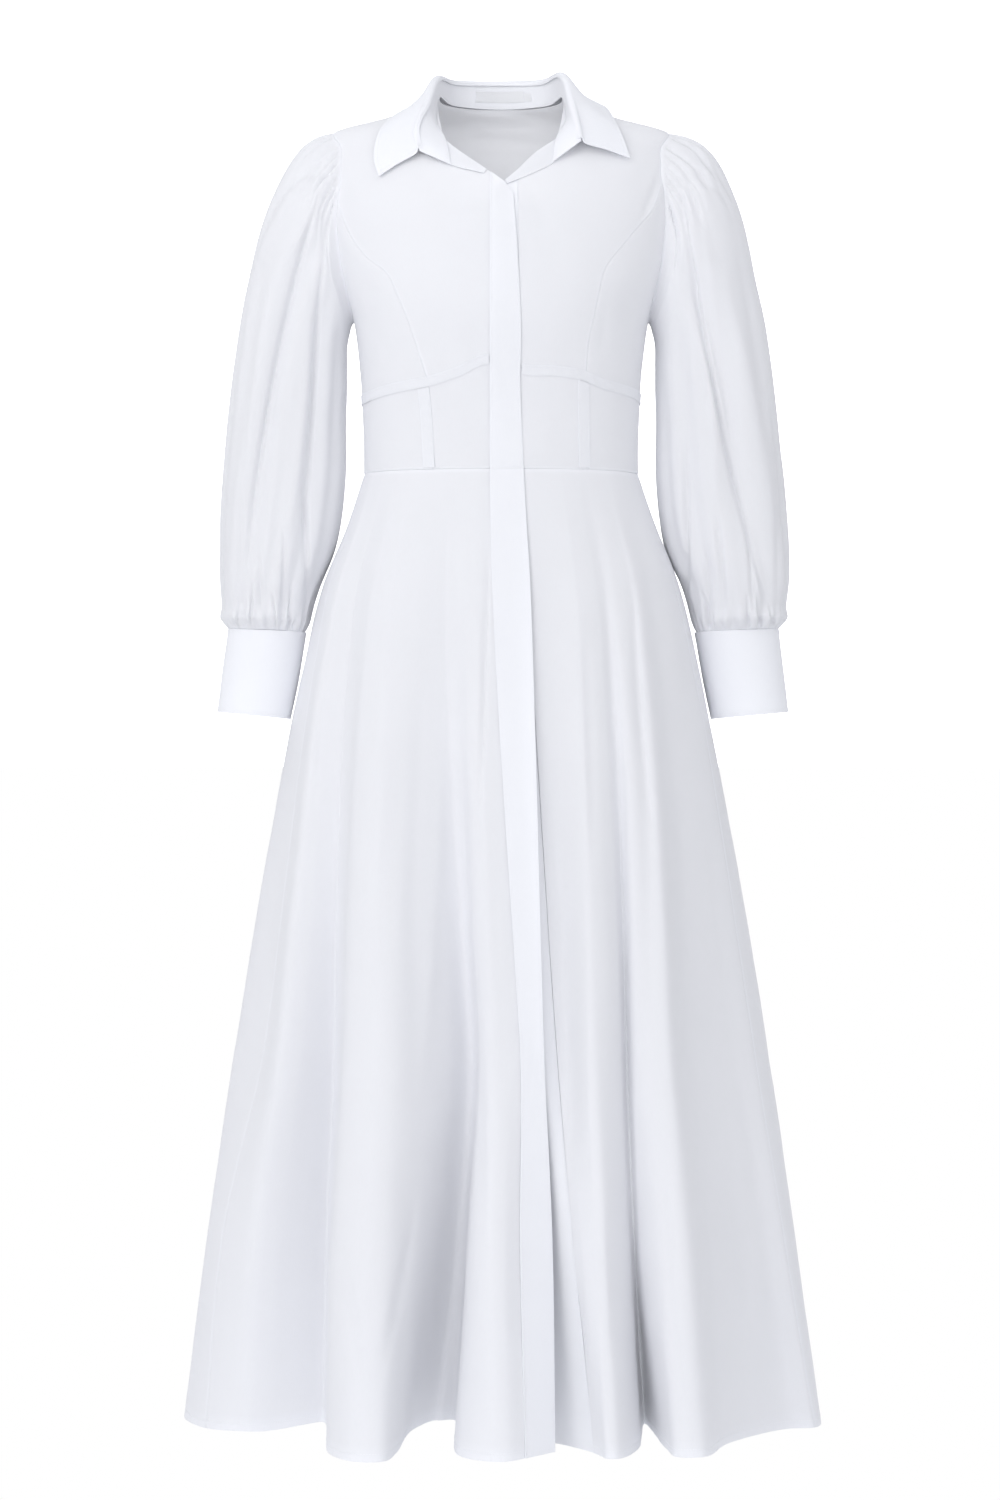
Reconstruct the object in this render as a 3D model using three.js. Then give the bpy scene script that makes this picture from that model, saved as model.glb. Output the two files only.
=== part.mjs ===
import * as THREE from 'three';

// A shirt dress as it hangs when worn, filled out, with neck, hem and cuffs open.
// Millimetres, Z up. The front faces -Y and the wearer's right side lies at -X.
// The origin is the middle of the shoulder line, where the wearer carries it.

// Walls and gaps
const seamGap = 0.3;
const panelWall = 1.2;
const skirtWall = 1.3;
const bandWall = 1.6;
const tapeWall = 1;
const tapeClearance = 0.7;

// Levels, measured from the shoulder line
const shoulderTipLevel = -25;
const neckSideLevel = 10;
const neckBackLevel = 7;
const waistLevel = -367;
const kneeLevel = -912;
const shinLevel = -1110;
const hemLevel = -1308;

// Widths, each a distance from the centre line
const neckHalfWidth = 62;
const shoulderHalfWidth = 167;
const underbustMiddleLevel = -265;
const channelTopLevel = -280;
const placketStitchX = 11;
const rightPanelEdgeX = 8;
const underlapEdgeX = 6;
const leftPanelEdgeX = 17;

// The armhole, an upright oval on each side of the body
const armhole = { top: shoulderTipLevel, bottom: -215, front: 46, back: 52 };
const princessStart = { right: 78, left: 65 };

// How square a horizontal section of the body is, 2 being a plain ellipse
const squareness = 2.3;

const tapeWidth = 10;
const channelWidth = 11;
const channelOverSeam = 0.6;
const channelTopGap = 0.6;
const tapeStart = 0.8;
const overlapTapeX = 20.4;
const cuffWall = 1.8;

// Columns and rows of each wall's grid. Walls that share a seam share its points too.
const centreColumns = 8;
const sideColumns = 6;
const backColumns = 18;
const edgeRows = 5;
const princessRows = 8;
const sleeveColumns = 40;
const collarColumns = 36;
const skirtRows = 10;

const sides = { right: -1, left: 1 };
const whiteCloth = { color: 0xf1f3f7, roughness: 0.85, metalness: 0 };
const whiteBand = { color: 0xf7f8fb, roughness: 0.8, metalness: 0 };
const labelCloth = { color: 0xfcfcfc, roughness: 0.6, metalness: 0 };

function table(columns, rows) {
  return rows.map((row, index) => {
    const named = Object.fromEntries(columns.map((column, i) => [column, row[i]]));
    return { ...named, row: index };
  });
}

// The body of the dress at each level: half its width, and its depth to the front and back
const torsoForm = table(['level', 'half', 'front', 'back'], [
  [14, 58, 12, 60],
  [10, 62, 16, 62],
  [4, 72, 20, 65],
  [-3, 91, 26, 70],
  [-12, 121, 34, 76],
  [-25, 167, 46, 86],
  [-45, 171, 64, 93],
  [-70, 173, 84, 100],
  [-112, 174, 108, 106],
  [-157, 166, 119, 105],
  [-187, 156, 124, 101],
  [-215, 147, 124, 96],
  [-262, 141, 114, 88],
  [-310, 138, 106, 82],
  [-367, 137, 105, 80],
]);

// The ring that the skirt's fold crests reach at each level
const skirtForm = table(['level', 'half', 'front', 'back'], [
  [-367, 137, 105, 80],
  [-420, 155, 118, 98],
  [-479, 178, 134, 122],
  [-562, 198, 152, 148],
  [-692, 224, 178, 178],
  [-912, 262, 212, 215],
  [-1110, 291, 255, 250],
  [-1308, 317, 290, 285],
]);

// The seam under the bust, by angle from the centre front
const underbustSeam = table(['angle', 'level'], [
  [-180, -292],
  [-90, -293],
  [-70, -292],
  [-45, -286],
  [-27, -281],
  [-14, -272],
  [-3.6, -261],
  [8, -271],
  [18, -271.5],
  [31, -275],
  [44, -283],
  [75, -290],
  [90, -292],
  [180, -292],
  [270, -293],
]);

// The princess seams, and below the bust the bone channels over them
const princessSeam = {
  right: table(['level', 'x'], [
    [-100, 162],
    [-135, 148],
    [-158, 132],
    [-174, 113],
    [-196, 102],
    [-218, 93],
    [-241, 85],
    [-263, 78],
    [-285, 72],
    [-367, 67],
  ]),
  left: table(['level', 'x'], [
    [-80, 160],
    [-110, 149],
    [-133, 131],
    [-157, 112],
    [-172, 102],
    [-192, 97],
    [-216, 92],
    [-243, 86],
    [-275, 84],
    [-367, 85],
  ]),
};

// The neck edge of each front, from the shoulder seam down to the placket
const neckEdge = {
  right: table(['x', 'level'], [
    [62, 10],
    [62.5, 4],
    [62.5, -4],
    [61.5, -14],
    [59, -26],
    [55, -40],
    [44, -50],
    [31, -60],
    [18, -70],
    [8, -76],
  ]),
  left: table(['x', 'level'], [
    [62, 10],
    [62.5, 4],
    [62, -4],
    [60.5, -14],
    [58, -26],
    [53, -40],
    [43, -47],
    [34, -54],
    [26, -62],
    [17, -72],
  ]),
};

// The turned-out facing of each front, from the neck seam down to the placket. A row gives
// a place on the neck edge and the one on the facing's own free edge.
const facingForm = {
  right: table(['neckX', 'neckLevel', 'edgeX', 'edgeLevel'], [
    [55, -40.5, 49, -68],
    [44, -50.5, 40, -71],
    [31, -60.5, 29, -74],
    [14, -73, 17, -77],
  ]),
  left: table(['neckX', 'neckLevel', 'edgeX', 'edgeLevel'], [
    [53, -40.5, 52, -65],
    [43, -47.5, 45, -70],
    [34, -54.5, 37, -74],
    [26, -62.5, 29, -78],
    [17, -72.5, 20, -82],
    [4, -84.5, 6, -88],
  ]),
};

// The free edge of the overlap on the bodice
const overlapEdge = table(['level', 'x'], [
  [-98, 12],
  [-148, 15.6],
  [-235, 19.5],
  [-280, 18.6],
  [-367, 22],
]);

// The collar, from its right front end round the back to its left front end. The stand
// rises from the neck seam to the roll line, and the fall turns down to its free edge.
const collarForm = table(
  ['seamAngle', 'seamLevel', 'seamLift', 'rollX', 'rollY', 'rollZ', 'edgeAngle', 'edgeLevel', 'edgeLift', 'bulge'],
  [
    [-13.6, -69, 2.4, -80, -74, -53, -40, -81, 4, 3],
    [-15.8, -40, 2.2, -84, -68, -32, -43, -60, 5, 4],
    [-20.5, -22, 1.4, -74, -44, -2, -40.5, -31, 5, 3],
    [-90, 10, 0.4, -64, 2, 29.5, -90, -3.5, 2.4, -7],
    [-135, 8.5, 0.2, -46, 49, 32.5, -136, -10, 4, 0],
    [-180, 7, 0.2, -2, 66, 33.6, -180, -12, 5, 3],
    [-224, 8.5, 0.2, 41, 49, 33, -222, -10, 5, 2],
    [-270, 10, 0.4, 61, 2, 33, -270, -6, 7, -4],
    [-339.5, -22, 1.4, 71, -44, -2, -321, -27, 6, 3],
    [-344.3, -40, 2.2, 76, -66, -27, -318.5, -43, 6, 4],
    [-345.8, -66, 2.4, 79, -74, -43, -316, -62, 5, 3],
  ],
);

// Vertical fold lines of the skirt, as seen from the front. Each runs from the waist seam
// to the hem, and lies at the given places across and in depth at knee, shin and hem. A
// round fold is twice 'round' wide at the hem.
const foldColumns = ['fold', 'waist', 'kneeX', 'kneeY', 'shinX', 'shinY', 'hemX', 'hemY', 'lift', 'round'];
const leftFrontFolds = table(foldColumns, [
  ['underlap edge', -2.4, 28, -182, 40, -204, 46, -190, 3, 0],
  ['underlap fold', 1.5, 37, -196, 53, -222, 63, -212, 3, 0],
  ['underlap stitching', 5.2, 52, -186, 68, -234, 88, -244, 1, 0],
  ['shadow by the placket', 12, 63, -185, 78, -246, 95, -260, 0, 0],
  ['fourth crest', 22, 87, -208, 95, -255, 105, -273, 0, 5],
  ['fourth crest, outer side', 29, 113, -184, 121, -207, 131, -214, 1, 0],
  ['fourth valley', 33, 120, -164, 127, -190, 139, -140, 13, 0],
  ['fifth crest, inner side', 38, 128, -184, 133, -208, 157, -226, 2, 0],
  ['fifth crest', 47, 152, -190, 166, -235, 178, -262, 0, 12],
  ['fifth crest, outer side', 56, 180, -134, 203, -156, 220, -174, 0, 0],
  ['side valley', 66, 222, -86, 252, -86, 280, -86, 0, 0],
  ['side seam', 78, 246, -62, 277, -70, 309, -76, 0, 0],
]);
const rightFrontFolds = table(foldColumns, [
  ['side seam', -78, -229, -78, -272, -78, -290, -80, 0, 0],
  ['first crest', -66, -204, -121, -229, -122, -242, -114, 2, 12],
  ['first valley', -55, -164, -104, -172, -98, -176, -94, 8, 2],
  ['first valley, inner side', -50, -154, -140, -163, -150, -167, -142, 5, 0],
  ['second crest, outer side', -45, -148, -190, -158, -235, -162, -250, 1, 0],
  ['second crest', -37, -112, -213, -120, -262, -124, -290, 0, 13],
  ['second crest, inner side', -28, -72, -190, -78, -230, -96, -252, 2, 3],
  ['second valley, outer side', -22.5, -50, -168, -62, -192, -86, -178, 12, 0],
  ['second valley', -18, -32, -150, -40, -154, -62, -144, 17, 3],
  ['second valley, inner side', -14, -25, -160, -32, -164, -46, -140, 17, 0],
  ['third crest, outer side', -10, -22, -196, -29, -240, -41, -256, 1, 0],
  ['third crest', -6.5, -3, -211, -5, -262, -2, -289, 0, 8],
  ['placket stitching', -3.15, 17, -208, 17.5, -250, 22, -276, 1, 0],
  ['placket edge', 7, 40, -203, 48, -232, 50, -248, 3, 0],
]);

// Folds of the skirt's sides and back: the angle, how far the fold reaches at the hem as a
// share of the crests' ring, and how many degrees its round top spans to either side
const backFolds = table(['angle', 'reach', 'lift', 'round'], [
  [90, 1, 0, 0],
  [99, 0.97, 2, 0],
  [109, 0.79, 8, 1.5],
  [122, 1, 0, 3.5],
  [136, 0.7, 11, 2.5],
  [150, 1.02, 0, 4.5],
  [163, 0.64, 14, 2],
  [174, 0.97, 0, 3],
  [186, 0.68, 12, 2.5],
  [199, 1, 0, 4],
  [212, 0.66, 13, 2.5],
  [225, 1.01, 0, 4.5],
  [239, 0.77, 8, 1.5],
  [250, 0.99, 0, 3],
  [260, 0.95, 2, 0],
  [270, 1, 0, 0],
]);
const foldGrowth = { knee: 0.52, shin: 0.77 };
const roundGrowth = { knee: 0.75, shin: 0.88 };
const roundWaistShare = 0.12;

// Each row is a section across the sleeve: a point on the arm's outer side and one on its
// inner side for the wearer's right and left, how deep it is, and how far back it sits
const sleeveForm = table(
  ['outerRight', 'outerLeft', 'outerLevel', 'innerRight', 'innerLeft', 'innerLevel', 'depth', 'back'],
  [
    [167, 167, -25, 147, 147, -215, 49, 3],
    [192, 197, -34, 149.5, 149.5, -219, 55, 3],
    [209, 215, -51, 151, 151, -224, 58, 3],
    [226, 231, -82, 152.5, 152.5, -230, 58, 3],
    [241, 245, -122, 154, 154, -240, 57, 4],
    [253, 255, -172, 154, 154, -256, 56, 5],
    [263, 266, -225, 154, 154, -284, 55, 6],
    [271, 274, -285, 155, 155, -320, 54, 8],
    [277, 280, -340, 155, 155, -362, 55, 10],
    [281, 286, -395, 159, 158, -405, 57, 12],
    [282, 289, -440, 166, 165, -442, 58, 13],
    [282, 289, -475, 180, 180, -476, 57, 14],
    [279, 285, -502, 188.5, 188.5, -504, 49, 14],
    [274, 279, -520, 194.5, 194.5, -523, 39, 14],
  ],
);
const sleeveBlendRows = 2.4;

// Long folds of the sleeves, running down from row to row at an angle round the arm, with
// 0 at its outer side and 90 at its front. A minus depth is a trough.
const sleeveFoldColumns = ['fold', 'from', 'to', 'startAngle', 'endAngle', 'width', 'depth'];
const sleeveFolds = {
  right: table(sleeveFoldColumns, [
    ['long trough', 0.8, 12, 96, 60, 11, -7],
    ['long ridge', 0.6, 12, 76, 40, 12, 4],
    ['inner trough', 2, 12.5, 122, 118, 11, -6],
    ['back trough', 1.5, 12, 262, 285, 14, -7],
    ['back ridge', 1.5, 12, 236, 258, 14, 4],
    ['outer trough', 1, 9, 318, 336, 11, -4],
  ]),
  left: table(sleeveFoldColumns, [
    ['long trough', 0.8, 12.5, 118, 48, 11, -7],
    ['long ridge', 0.8, 12, 96, 26, 12, 4],
    ['inner trough', 4, 12.5, 126, 116, 11, -6],
    ['back trough', 1.5, 12, 276, 252, 14, -7],
    ['back ridge', 1.5, 12, 300, 280, 14, 4],
    ['outer trough', 1, 8, 326, 340, 11, -4],
  ]),
};
const capGathers = { waves: 20, depth: 1.6, rows: 2.6 };
const cuffGathers = { waves: 10, depth: 2.6, rows: 3.2 };

const cuffForm = table(
  ['outerRight', 'outerLeft', 'outerLevel', 'innerRight', 'innerLeft', 'innerLevel', 'depth', 'back'],
  [
    [273, 278, -521, 195.5, 194.5, -524, 36, 14],
    [279, 283, -562, 202.5, 202, -567, 36.5, 14.5],
    [284, 288, -604, 211.5, 211, -611, 37.5, 15],
  ],
);

const neckLabel = { left: -25, right: 25, bottom: 14.5, top: 27.5, wall: 1 };
const sizeTab = { left: 26, right: 33, bottom: 15.5, top: 25, wall: 1 };

// Reads a column of a table anywhere along its key column, on a smooth curve
// through the rows.
function read(rows, key, column, at) {
  const last = rows.length - 1;
  const direction = Math.sign(rows[last][key] - rows[0][key]);
  let i = 0;
  while (i < last - 1 && (rows[i + 1][key] - at) * direction < 0) i += 1;
  const slope = (j) => {
    const before = rows[Math.max(j - 1, 0)];
    const after = rows[Math.min(j + 1, last)];
    return (after[column] - before[column]) / (after[key] - before[key]);
  };
  const span = rows[i + 1][key] - rows[i][key];
  const f = THREE.MathUtils.clamp((at - rows[i][key]) / span, -0.1, 1.1);
  const start = rows[i][column];
  const end = rows[i + 1][column];
  const startPull = slope(i) * span;
  const endPull = slope(i + 1) * span;
  const bend = startPull + endPull - 2 * (end - start);
  const lean = 3 * (end - start) - 2 * startPull - endPull;
  return start + f * (startPull + f * (lean + f * bend));
}

const power = 2 / squareness;
const raise = (value) => Math.sign(value) * Math.abs(value) ** power;
const unraise = (value) => Math.min(Math.abs(value), 1) ** (1 / power);

// A point of the body: the angle goes from the centre front towards the wearer's left
function torsoPoint(angle, level) {
  const turn = THREE.MathUtils.degToRad(angle);
  const depth = read(torsoForm, 'level', Math.cos(turn) > 0 ? 'front' : 'back', level);
  const x = read(torsoForm, 'level', 'half', level) * raise(Math.sin(turn));
  return new THREE.Vector3(x, -depth * raise(Math.cos(turn)), level);
}

function angleAtX(x, level) {
  const half = read(torsoForm, 'level', 'half', level);
  return THREE.MathUtils.radToDeg(Math.asin(unraise(x / half)));
}

function angleAtDepth(y, level) {
  const depth = read(torsoForm, 'level', y > 0 ? 'back' : 'front', level);
  const fromMiddle = THREE.MathUtils.radToDeg(Math.acos(unraise(y / depth)));
  return y > 0 ? 180 - fromMiddle : fromMiddle;
}

// The armhole's edge as an angle and level on the body. Round it, 0 is the shoulder,
// 90 the front, 180 the underarm and 270 the back.
function armholeEdge(round) {
  const turn = THREE.MathUtils.degToRad(round);
  const middle = (armhole.top + armhole.bottom) / 2;
  const level = middle + (armhole.top - middle) * Math.cos(turn);
  const reach = Math.sin(turn) > 0 ? armhole.front : armhole.back;
  return [angleAtDepth(-reach * Math.sin(turn), level), level];
}

const shoulderRows = torsoForm.filter((row) => row.level <= neckSideLevel && row.level >= shoulderTipLevel);
const shoulderEdge = (f) => {
  const x = THREE.MathUtils.lerp(neckHalfWidth, shoulderHalfWidth, f);
  return [90, read(shoulderRows, 'half', 'level', x)];
};
const underbustEdge = (angle) => [angle, read(underbustSeam, 'angle', 'level', angle)];
const seamPlace = (x, level) => [angleAtX(x, level), level];

function lerpPlace(a, b, f) {
  return [THREE.MathUtils.lerp(a[0], b[0], f), THREE.MathUtils.lerp(a[1], b[1], f)];
}

// Two edges joined end to end, the first taking the given share of the way
function joined(first, second, share) {
  return (f) => (f < share ? first(f / share) : second((f - share) / (1 - share)));
}

// Fills the patch between four edges
function patchBetween(top, bottom, start, end) {
  return (c, r) => {
    const across = lerpPlace(top(c), bottom(c), r);
    const down = lerpPlace(start(r), end(r), c);
    const corners = lerpPlace(lerpPlace(top(0), top(1), c), lerpPlace(bottom(0), bottom(1), c), r);
    return [across[0] + down[0] - corners[0], across[1] + down[1] - corners[1]];
  };
}

const mirrored = (place) => (c, r) => {
  const [angle, level] = place(1 - c, r);
  return [-angle, level];
};
const onSide = (side, place) => (side === 'right' ? mirrored(place) : place);

function normalAt(surface, u, v, step) {
  const alongU = surface(u + step[0], v).sub(surface(u - step[0], v));
  const alongV = surface(u, v + step[1]).sub(surface(u, v - step[1]));
  return alongU.cross(alongV).normalize();
}

function signedVolume(points, faces) {
  let sum = 0;
  for (let i = 0; i < faces.length; i += 3) {
    const [a, b, c] = [points[faces[i]], points[faces[i + 1]], points[faces[i + 2]]];
    sum += a.dot(new THREE.Vector3().crossVectors(b, c));
  }
  return sum;
}

// Pulls the edge points of a grid back from its seams by half the gap
function trimEdges(outer, inner, isRing) {
  const pull = (r, c, towardsR, towardsC) => {
    const way = outer[towardsR][towardsC].clone().sub(outer[r][c]).setLength(seamGap / 2);
    outer[r][c].add(way);
    inner[r][c].add(way);
  };
  const lastRow = outer.length - 1;
  const lastColumn = outer[0].length - 1;
  for (let c = 0; c <= lastColumn; c += 1) {
    pull(0, c, 1, c);
    pull(lastRow, c, lastRow - 1, c);
  }
  if (isRing) return;
  for (let r = 0; r <= lastRow; r += 1) {
    pull(r, 0, r, 1);
    pull(r, lastColumn, r, lastColumn - 1);
  }
}

// A cloth wall over a surface. The grid of places gives its outer points, which are moved
// out by lift, and its inner points lie one wall thickness behind them.
function clothWall(name, finish, surface, place, shape) {
  const { columns, rows, step, lift = 0, thickness = panelWall, isRing = false } = shape;
  const outer = [];
  const inner = [];
  for (let r = 0; r <= rows; r += 1) {
    outer.push([]);
    inner.push([]);
    for (let c = 0; c < (isRing ? columns : columns + 1); c += 1) {
      const [u, v] = place(c / columns, r / rows);
      const point = surface(u, v);
      const normal = normalAt(surface, u, v, step);
      outer[r].push(point.clone().addScaledVector(normal, lift));
      inner[r].push(point.clone().addScaledVector(normal, lift - thickness));
    }
  }
  trimEdges(outer, inner, isRing);
  return closedMesh(name, finish, outer, inner, isRing);
}

function closedMesh(name, finish, outer, inner, isRing) {
  const rows = outer.length - 1;
  const across = outer[0].length;
  const points = [...outer.flat(), ...inner.flat()];
  const faces = [];
  const at = (layer, r, c) => layer * outer.flat().length + r * across + (c % across);
  const quad = (a, b, c, d) => {
    const shortWay = points[a].distanceTo(points[c]) <= points[b].distanceTo(points[d]);
    faces.push(...(shortWay ? [a, b, c, a, c, d] : [a, b, d, b, c, d]));
  };
  const spans = isRing ? across : across - 1;
  for (let c = 0; c < spans; c += 1) {
    for (let r = 0; r < rows; r += 1) {
      quad(at(0, r, c), at(0, r + 1, c), at(0, r + 1, c + 1), at(0, r, c + 1));
      quad(at(1, r, c), at(1, r, c + 1), at(1, r + 1, c + 1), at(1, r + 1, c));
    }
    quad(at(0, 0, c), at(0, 0, c + 1), at(1, 0, c + 1), at(1, 0, c));
    quad(at(0, rows, c + 1), at(0, rows, c), at(1, rows, c), at(1, rows, c + 1));
  }
  for (let r = 0; r < rows && !isRing; r += 1) {
    quad(at(0, r + 1, 0), at(0, r, 0), at(1, r, 0), at(1, r + 1, 0));
    quad(at(0, r, spans), at(0, r + 1, spans), at(1, r + 1, spans), at(1, r, spans));
  }
  if (signedVolume(points, faces) < 0) faces.reverse();
  const geometry = new THREE.BufferGeometry().setFromPoints(points).setIndex(faces);
  geometry.computeVertexNormals();
  const mesh = new THREE.Mesh(geometry, new THREE.MeshStandardMaterial(finish));
  mesh.name = name;
  return mesh;
}

const dress = new THREE.Group();
const torsoStep = [0.5, 1];

// Bodice

const princessPlace = (side, level) => seamPlace(read(princessSeam[side], 'level', 'x', level), level);
const panelEdgeX = { right: rightPanelEdgeX, left: leftPanelEdgeX };

function princessUnderbust(side) {
  const signed = sides[side];
  let angle = 30;
  for (let pass = 0; pass < 4; pass += 1) {
    const [, level] = underbustEdge(signed * angle);
    [angle] = princessPlace(side, level);
  }
  return angle;
}

function underbustOnSide(side, angle) {
  return [angle, underbustEdge(sides[side] * angle)[1]];
}

// The princess seam from the armhole down to the seam under the bust
function princessEdge(side) {
  const head = armholeEdge(princessStart[side]);
  const foot = underbustOnSide(side, princessUnderbust(side));
  const start = head[0] - princessPlace(side, head[1])[0];
  return (f) => {
    const place = princessPlace(side, THREE.MathUtils.lerp(head[1], foot[1], f));
    return [place[0] + start * (1 - f) ** 3, place[1]];
  };
}

function frontCentre(side) {
  const neckRows = neckEdge[side];
  const neckPlace = (f) => {
    const row = f * (neckRows.length - 1);
    return seamPlace(read(neckRows, 'row', 'x', row), read(neckRows, 'row', 'level', row));
  };
  const neckFoot = neckRows.at(-1);
  const edgeX = panelEdgeX[side];
  const edgeFoot = underbustOnSide(side, angleAtX(edgeX, underbustMiddleLevel));
  const frontEdge = (f) => seamPlace(edgeX, THREE.MathUtils.lerp(neckFoot.level, edgeFoot[1], f));
  const princessFoot = princessUnderbust(side);
  const princessHead = princessStart[side];
  const princess = princessEdge(side);
  const edgeShare = edgeRows / (edgeRows + princessRows);
  const place = patchBetween(
    shoulderEdge,
    (f) => underbustOnSide(side, THREE.MathUtils.lerp(edgeFoot[0], princessFoot, f)),
    joined(neckPlace, frontEdge, edgeShare),
    joined((f) => armholeEdge(princessHead * f), princess, edgeShare),
  );
  return clothWall(`front_centre_${side}`, whiteCloth, torsoPoint, onSide(side, place), {
    columns: centreColumns, rows: edgeRows + princessRows, step: torsoStep,
  });
}

function frontSide(side) {
  const princessFoot = princessUnderbust(side);
  const princessHead = princessStart[side];
  const princess = princessEdge(side);
  const sideFoot = underbustOnSide(side, 90)[1];
  const place = patchBetween(
    (f) => armholeEdge(THREE.MathUtils.lerp(princessHead, 180, f)),
    (f) => underbustOnSide(side, THREE.MathUtils.lerp(princessFoot, 90, f)),
    princess,
    (f) => [90, THREE.MathUtils.lerp(armhole.bottom, sideFoot, f)],
  );
  return clothWall(`front_side_${side}`, whiteCloth, torsoPoint, onSide(side, place), {
    columns: sideColumns, rows: princessRows, step: torsoStep,
  });
}

function backBodice() {
  const shoulderShare = 0.26;
  const backOf = ([angle, level]) => [360 - angle, level];
  const neckLevel = (f) => neckSideLevel - (neckSideLevel - neckBackLevel) * Math.sin(Math.PI * f);
  const top = (c) => {
    if (c < shoulderShare) return shoulderEdge(1 - c / shoulderShare);
    if (c > 1 - shoulderShare) return backOf(shoulderEdge(1 - (1 - c) / shoulderShare));
    const f = (c - shoulderShare) / (1 - 2 * shoulderShare);
    return [90 + 180 * f, neckLevel(f)];
  };
  const armholeBack = (f) => armholeEdge(360 - 180 * f);
  const sideSeam = (f) => [90, THREE.MathUtils.lerp(armhole.bottom, underbustEdge(90)[1], f)];
  const leftEdge = joined(armholeBack, sideSeam, 0.65);
  const place = patchBetween(
    top,
    (f) => underbustEdge(90 + 180 * f),
    leftEdge,
    (f) => backOf(leftEdge(f)),
  );
  return clothWall('back_bodice', whiteCloth, torsoPoint, place, {
    columns: backColumns, rows: 12, step: torsoStep,
  });
}

function midriff() {
  const band = (name, startX, endX, columns) => {
    const place = (c, r) => {
      const level = THREE.MathUtils.lerp(channelTopLevel, waistLevel, r);
      const angle = THREE.MathUtils.lerp(startX(level), endX(level), c);
      return [angle, THREE.MathUtils.lerp(underbustEdge(angle)[1], waistLevel, r)];
    };
    return clothWall(name, whiteCloth, torsoPoint, place, { columns, rows: 4, step: torsoStep });
  };
  const channel = (side) => (level) => sides[side] * princessPlace(side, level)[0];
  const centre = (side) => (level) => sides[side] * angleAtX(panelEdgeX[side], level);
  const seam = (angle) => () => angle;
  return [
    band('midriff_centre_right', channel('right'), centre('right'), centreColumns),
    band('midriff_centre_left', centre('left'), channel('left'), centreColumns),
    band('midriff_side_right', seam(-90), channel('right'), sideColumns),
    band('midriff_side_left', channel('left'), seam(90), sideColumns),
    band('midriff_back', seam(90), seam(270), backColumns),
  ];
}

// Tapes that cover the seam under the bust, and the bone channels below them
function tapes() {
  const shape = { rows: 1, step: torsoStep, lift: tapeClearance + tapeWall, thickness: tapeWall };
  const tape = (name, from, to, columns) => {
    const place = (c, r) => {
      const angle = THREE.MathUtils.lerp(from, to, c);
      return [angle, underbustEdge(angle)[1] + tapeWidth * (0.5 - r)];
    };
    return clothWall(name, whiteBand, torsoPoint, place, { ...shape, columns });
  };
  const channel = (side) => {
    const offset = side === 'right' ? 0 : -1;
    const place = (c, r) => {
      const x = read(princessSeam[side], 'level', 'x', THREE.MathUtils.lerp(channelTopLevel, waistLevel, r));
      const across = sides[side] * (x + channelWidth * (0.5 + offset) * channelOverSeam) + channelWidth * (c - 0.5);
      const top = underbustEdge(sides[side] * angleAtX(Math.abs(across), -285))[1] - tapeWidth / 2 - channelTopGap;
      const level = THREE.MathUtils.lerp(top, waistLevel + 2, r);
      return [sides[side] * angleAtX(Math.abs(across), level), level];
    };
    return clothWall(`bone_channel_${side}`, whiteBand, torsoPoint, place, { ...shape, columns: 2, rows: 4 });
  };
  const placketSide = angleAtX(placketStitchX + tapeStart, underbustMiddleLevel);
  const overlapSide = angleAtX(overlapTapeX, underbustMiddleLevel);
  return [
    tape('underbust_tape_right', -90, -placketSide, 16),
    tape('underbust_tape_left', overlapSide, 90, 16),
    tape('underbust_tape_back', 90, 270, 20),
    channel('right'),
    channel('left'),
  ];
}

// Skirt: one strip from the underlap's edge round the back to the overlap's edge

function frontFoldStations(row, shift) {
  const { lift } = row;
  const waistTurn = THREE.MathUtils.degToRad(row.waist + roundWaistShare * shift);
  const station = (level, x, y) => {
    const half = read(skirtForm, 'level', 'half', level);
    const front = read(skirtForm, 'level', 'front', level);
    return { level, across: x / half, depth: y / front, lift };
  };
  return [
    { level: waistLevel, across: raise(Math.sin(waistTurn)), depth: -raise(Math.cos(waistTurn)), lift },
    station(kneeLevel, row.kneeX + roundGrowth.knee * shift, row.kneeY),
    station(shinLevel, row.shinX + roundGrowth.shin * shift, row.shinY),
    station(hemLevel, row.hemX + shift, row.hemY),
  ];
}

function backFoldStations(row, shift) {
  const turn = THREE.MathUtils.degToRad(row.angle + shift);
  const station = (level, growth) => {
    const reach = 1 + (row.reach - 1) * growth;
    return { level, across: reach * raise(Math.sin(turn)), depth: -reach * raise(Math.cos(turn)), lift: row.lift };
  };
  return [
    station(waistLevel, 0),
    station(kneeLevel, foldGrowth.knee),
    station(shinLevel, foldGrowth.shin),
    station(hemLevel, 1),
  ];
}

// A round fold takes two lines, one on each side of its middle
function foldLines(rows, stations) {
  return rows.flatMap((row) => (row.round ? [stations(row, -row.round), stations(row, row.round)] : [stations(row, 0)]));
}

const leftLines = foldLines(leftFrontFolds, frontFoldStations);
const backLines = foldLines(backFolds, backFoldStations);
const skirtLines = [...leftLines, ...backLines, ...foldLines(rightFrontFolds, frontFoldStations)];
const underlapStitchLine = 2;
const leftSeamLine = leftLines.length - 1;
const rightSeamLine = leftLines.length + backLines.length;
const lastLine = skirtLines.length - 1;
const overlapStitchLine = lastLine - 1;
const rings = new Map();

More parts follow.
